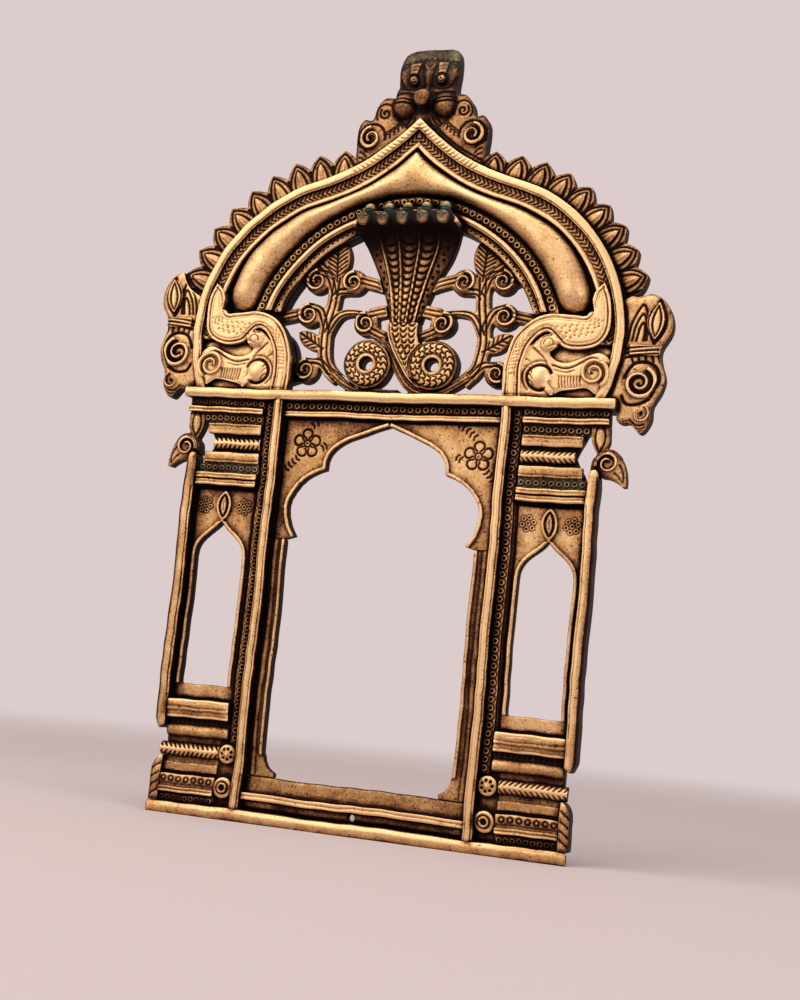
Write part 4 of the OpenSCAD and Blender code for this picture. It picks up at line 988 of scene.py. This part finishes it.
def set_wear_and_painted_shade(pieces):
    """Stores wear with painted shade, and verdigris, on the points of each piece, for its material."""
    places = {}
    for piece in pieces:
        corners = piece.data.vertices
        places[piece.name] = column(corners, "co", 3) / MM, column(corners, "normal", 3)
    low = np.min([v[0].min(0) for v in places.values()], axis=0)
    high = np.max([v[0].max(0) for v in places.values()], axis=0)
    wide, tall = (int((high[k] - low[k]) / GRID) + 2 for k in (0, 2))
    top = np.full((wide, tall), EMPTY)
    for points, normals in places.values():
        seen = normals[:, 1] < -0.2
        i = ((points[seen, 0] - low[0]) / GRID).astype(int)
        k = ((points[seen, 2] - low[2]) / GRID).astype(int)
        np.maximum.at(top, (i, k), -points[seen, 1])
    full = (top > EMPTY).astype(float)
    top = np.where(full > 0, top, 0)

    def mean_at(cells):
        return blurred(blurred(top * full, cells), cells) / (blurred(blurred(full, cells), cells) + 1e-6)

    fine, broad = mean_at(2), mean_at(6)
    for piece in pieces:
        points, normals = places[piece.name]
        i = np.clip(((points[:, 0] - low[0]) / GRID).astype(int), 0, wide - 1)
        k = np.clip(((points[:, 2] - low[2]) / GRID).astype(int), 0, tall - 1)
        out = 0.95 * (-points[:, 1] - fine[i, k]) + 0.14 * (-points[:, 1] - broad[i, k])
        facing = np.clip(-normals[:, 1], 0, 1)
        engraved = column(piece.data.attributes["engraved"].data, "value", 1, np.float32)[:, 0]
        # Painted shade with patina: spots below the relief around them, engraved grooves and faces turned
        # away from the front get darker; raised front faces get lighter
        wear = FLAT_FRONT_LEVEL + 0.55 * out + 0.45 * (facing - 0.85) + 0.8 * engraved - soil_and_painted_shade(piece.name, points)
        wear = np.where(normals[:, 1] > 0.2, CAST_BACK_LEVEL, np.clip(wear, 0, 1))
        for label, values in (("wear", wear), ("verdigris", verdigris_on(piece.name, points))):
            layer = piece.data.attributes.new(label, "FLOAT", "POINT")
            layer.data.foreach_set("value", values.astype(np.float32))


# Materials
def srgb(code):
    """A hex colour as linear red, green, blue and alpha."""
    parts = [int(code[k:k + 2], 16) / 255 for k in (1, 3, 5)]
    return tuple(c / 12.92 if c <= 0.04045 else ((c + 0.055) / 1.055) ** 2.4 for c in parts) + (1.0,)


class Shader:
    """A material or world with one helper that adds a node, sets its values and links its inputs."""

    def __init__(self, owner, main):
        owner.use_nodes = True
        self.tree = owner.node_tree
        self.main = self.tree.nodes[main]

    def add(self, kind, links=(), **values):
        node = self.tree.nodes.new(kind)
        for key, value in values.items():
            if hasattr(node, key):
                setattr(node, key, value)
            else:
                node.inputs[key.replace("_", " ")].default_value = value
        for socket, source in links:
            self.tree.links.new(source, node.inputs[socket])
        return node

    def drive(self, socket, source):
        self.tree.links.new(source, self.main.inputs[socket])

    def seen(self):
        """1 for rays from the camera and for what metal and glass show, otherwise 0."""
        path = self.add("ShaderNodeLightPath").outputs
        shown = self.add("ShaderNodeMath", [(0, path["Is Glossy Ray"]), (1, path["Is Transmission Ray"])],
                         operation="MAXIMUM")
        return self.add("ShaderNodeMath", [(0, path["Is Camera Ray"]), (1, shown.outputs[0])],
                        operation="MAXIMUM").outputs[0]

    def blend(self, share, other, output):
        """Mix the main shader with another one and send the result to the output node."""
        links = [(0, share), (1, self.main.outputs[0]), (2, other.outputs[0])]
        mix = self.add("ShaderNodeMixShader", links)
        self.tree.links.new(mix.outputs[0], self.tree.nodes[output].inputs["Surface"])


def new_material(name):
    material = bpy.data.materials.new(name)
    return material, Shader(material, "Principled BSDF")


def per_mm(size):
    """Pattern scale for a feature size in millimetres."""
    return 1.0 / (size * MM)


def ramp_stops(node, stops):
    ramp = node.color_ramp
    while len(ramp.elements) < len(stops):
        ramp.elements.new(0.5)
    for element, (place, colour) in zip(ramp.elements, stops):
        element.position = place
        element.color = srgb(colour)


def aged_brass(name, shift):
    """Cast brass, hand-finished: dark brown patina and painted shade in the recesses and on faces turned from
    the front, rubbed bright gold where hands reach.

    The eye sees soft, broad highlights with fine pits. The shift makes a finish brighter or browner.
    """
    material, s = new_material(name)
    place = s.add("ShaderNodeTexCoord").outputs["Object"]
    # The wear attribute holds patina and painted shade: its low end colours recesses and side faces dark
    wear = s.add("ShaderNodeAttribute", attribute_name="wear").outputs["Fac"]
    blotch = s.add("ShaderNodeTexNoise", [("Vector", place)], Scale=per_mm(5.0), Detail=4.0, Roughness=0.6)
    grain = s.add("ShaderNodeTexNoise", [("Vector", place)], Scale=per_mm(0.55), Detail=3.0, Roughness=0.65)
    spread = s.add("ShaderNodeMapRange", [("Value", blotch.outputs["Fac"])], From_Min=0.3, From_Max=0.7,
                   To_Min=-0.10 + shift, To_Max=0.10 + shift)
    speckle = s.add("ShaderNodeMapRange", [("Value", grain.outputs["Fac"])], From_Min=0.3, From_Max=0.7,
                    To_Min=-0.10, To_Max=0.10)
    both = s.add("ShaderNodeMath", [(0, spread.outputs[0]), (1, speckle.outputs[0])], operation="ADD")
    pores = s.add("ShaderNodeTexNoise", [("Vector", place)], Scale=per_mm(0.9), Detail=2.0, Roughness=0.7)
    pits = s.add("ShaderNodeMapRange", [("Value", pores.outputs["Fac"])], From_Min=0.60, From_Max=0.70,
                 To_Min=0.0, To_Max=-0.3)
    marks = s.add("ShaderNodeMath", [(0, both.outputs[0]), (1, pits.outputs[0])], operation="ADD")
    level = s.add("ShaderNodeMath", [(0, wear), (1, marks.outputs[0])], operation="ADD", use_clamp=True)
    tone = s.add("ShaderNodeValToRGB", [("Fac", level.outputs[0])])
    # From old patina and painted shade over brown to rubbed gold
    ramp_stops(tone, [(0.0, "#150906"), (0.29, "#391d12"), (0.46, "#765136"), (0.63, "#b68a58"),
                      (0.88, "#e6c18d")])
    green = s.add("ShaderNodeAttribute", attribute_name="verdigris").outputs["Fac"]
    patch = s.add("ShaderNodeMapRange", [("Value", blotch.outputs["Fac"])], From_Min=0.35, From_Max=0.6,
                  To_Min=0.15, To_Max=0.9)
    stain = s.add("ShaderNodeMath", [(0, green), (1, patch.outputs[0])], operation="MULTIPLY")
    colour = s.add("ShaderNodeMix", data_type="RGBA")
    s.tree.links.new(stain.outputs[0], colour.inputs[0])
    s.tree.links.new(tone.outputs["Color"], colour.inputs[6])
    colour.inputs[7].default_value = srgb("#5c7766")
    rough = s.add("ShaderNodeMapRange", [("Value", level.outputs[0])], From_Min=0.2, From_Max=0.9,
                  To_Min=0.62, To_Max=0.44)
    metal = s.add("ShaderNodeMapRange", [("Value", level.outputs[0])], From_Min=0.15, From_Max=0.5,
                  To_Min=0.88, To_Max=1.0)
    bump = s.add("ShaderNodeBump", [("Height", grain.outputs["Fac"])], Strength=0.22, Distance=0.12 * MM)
    s.drive("Base Color", colour.outputs[2])
    s.drive("Roughness", rough.outputs[0])
    s.drive("Metallic", metal.outputs[0])
    s.drive("Normal", bump.outputs["Normal"])
    return material


# Stage, lights and camera
FLOOR_R = 1200.0
# Distances over which the floor turns into the background
FADE_FROM, FADE_TO = 230.0, 900.0
PALE = "#dccccb"


def pale_paper(name):
    """Matt paper that keeps the part's shadow and fades into the pale background away from it."""
    material, s = new_material(name)
    s.main.inputs["Base Color"].default_value = srgb(PALE)
    s.main.inputs["Roughness"].default_value = 0.9
    place = s.add("ShaderNodeTexCoord").outputs["Object"]
    away = s.add("ShaderNodeVectorMath", [(0, place)], operation="LENGTH").outputs["Value"]
    far = s.add("ShaderNodeMapRange", [("Value", away)], interpolation_type="SMOOTHSTEP",
                From_Min=FADE_FROM * MM, From_Max=FADE_TO * MM).outputs["Result"]
    share = s.add("ShaderNodeMath", [(0, far), (1, s.seen())], operation="MULTIPLY").outputs[0]
    s.blend(share, s.add("ShaderNodeEmission", Color=srgb(PALE)), "Material Output")
    return material


def make_stage():
    """A round pale floor; the pale background beyond it is the world's."""
    turns = np.linspace(0, 2 * math.pi, 128, endpoint=False)
    verts = [(FLOOR_R * MM * math.cos(turn), FLOOR_R * MM * math.sin(turn), 0.0) for turn in turns]
    mesh = bpy.data.meshes.new("floor")
    mesh.from_pydata(verts, [], [tuple(range(len(verts)))])
    mesh.materials.append(pale_paper("Pale matt paper floor"))
    sheet = bpy.data.objects.new("floor", mesh)
    bpy.context.scene.collection.objects.link(sheet)


def area_light(name, at, aim, size, power, colour):
    data = bpy.data.lights.new(name, "AREA")
    data.shape = "RECTANGLE"
    data.size, data.size_y = size[0] * MM, size[1] * MM
    data.energy = power
    data.color = srgb(colour)[:3]
    lamp = bpy.data.objects.new(name, data)
    lamp.location = Vector(at) * MM
    lamp.rotation_euler = (Vector(aim) - Vector(at)).to_track_quat("-Z", "Y").to_euler()
    bpy.context.scene.collection.objects.link(lamp)


def make_lights():
    """A large soft key from the left, a fill from the right, a little light from above and a pale world."""
    area_light("key", (-560, -700, 720), (0, 0, 130), (1100, 1100), 7.0, "#fff8ee")
    area_light("fill", (700, -620, 340), (0, 0, 110), (560, 560), 2.2, "#f6f4ff")
    area_light("top", (40, -120, 620), (0, 0, 150), (420, 240), 1.0, "#ffffff")
    world = bpy.data.worlds.new("studio")
    bpy.context.scene.world = world
    s = Shader(world, "Background")
    s.main.inputs["Color"].default_value = srgb("#cfc8c6")
    s.main.inputs["Strength"].default_value = 0.62
    s.blend(s.seen(), s.add("ShaderNodeBackground", Color=srgb(PALE)), "World Output")


# Camera, as the photograph was taken: right of the middle, low and close
CAMERA_AT = Vector((152.4, front - 399.7, 39.9))
CAMERA_FORWARD = Vector((-0.3399, 0.9314, 0.1301))
CAMERA_RIGHT = Vector((0.9391, 0.3288, 0.0995))


def make_camera():
    data = bpy.data.cameras.new("camera")
    data.lens = 54.0
    data.sensor_width = 36.0
    data.clip_start = 0.01
    camera = bpy.data.objects.new("camera", data)
    bpy.context.scene.collection.objects.link(camera)
    back = -CAMERA_FORWARD.normalized()
    right = CAMERA_RIGHT.normalized()
    up = back.cross(right)
    turn = Matrix((right, up, back)).transposed().to_4x4()
    camera.matrix_world = Matrix.Translation(CAMERA_AT * MM) @ turn
    bpy.context.scene.camera = camera


finishes = {
    "polished_brass": aged_brass("Cast brass, hand-polished with dark recesses", 0.04),
    "patinated_brass": aged_brass("Cast brass, brown patina with rubbed highlights", -0.03),
    "verdigris_brass": aged_brass("Cast brass, brown patina with grey-green verdigris", -0.08),
}
pieces = []
for name in frame["nodes"]:
    cast = cast_piece(name)
    cast.data.materials.clear()
    cast.data.materials.append(finishes[slot_of[name]])
    pieces.append(cast)
set_wear_and_painted_shade(pieces)
make_stage()
make_lights()
make_camera()
bpy.context.scene.view_settings.view_transform = "Standard"
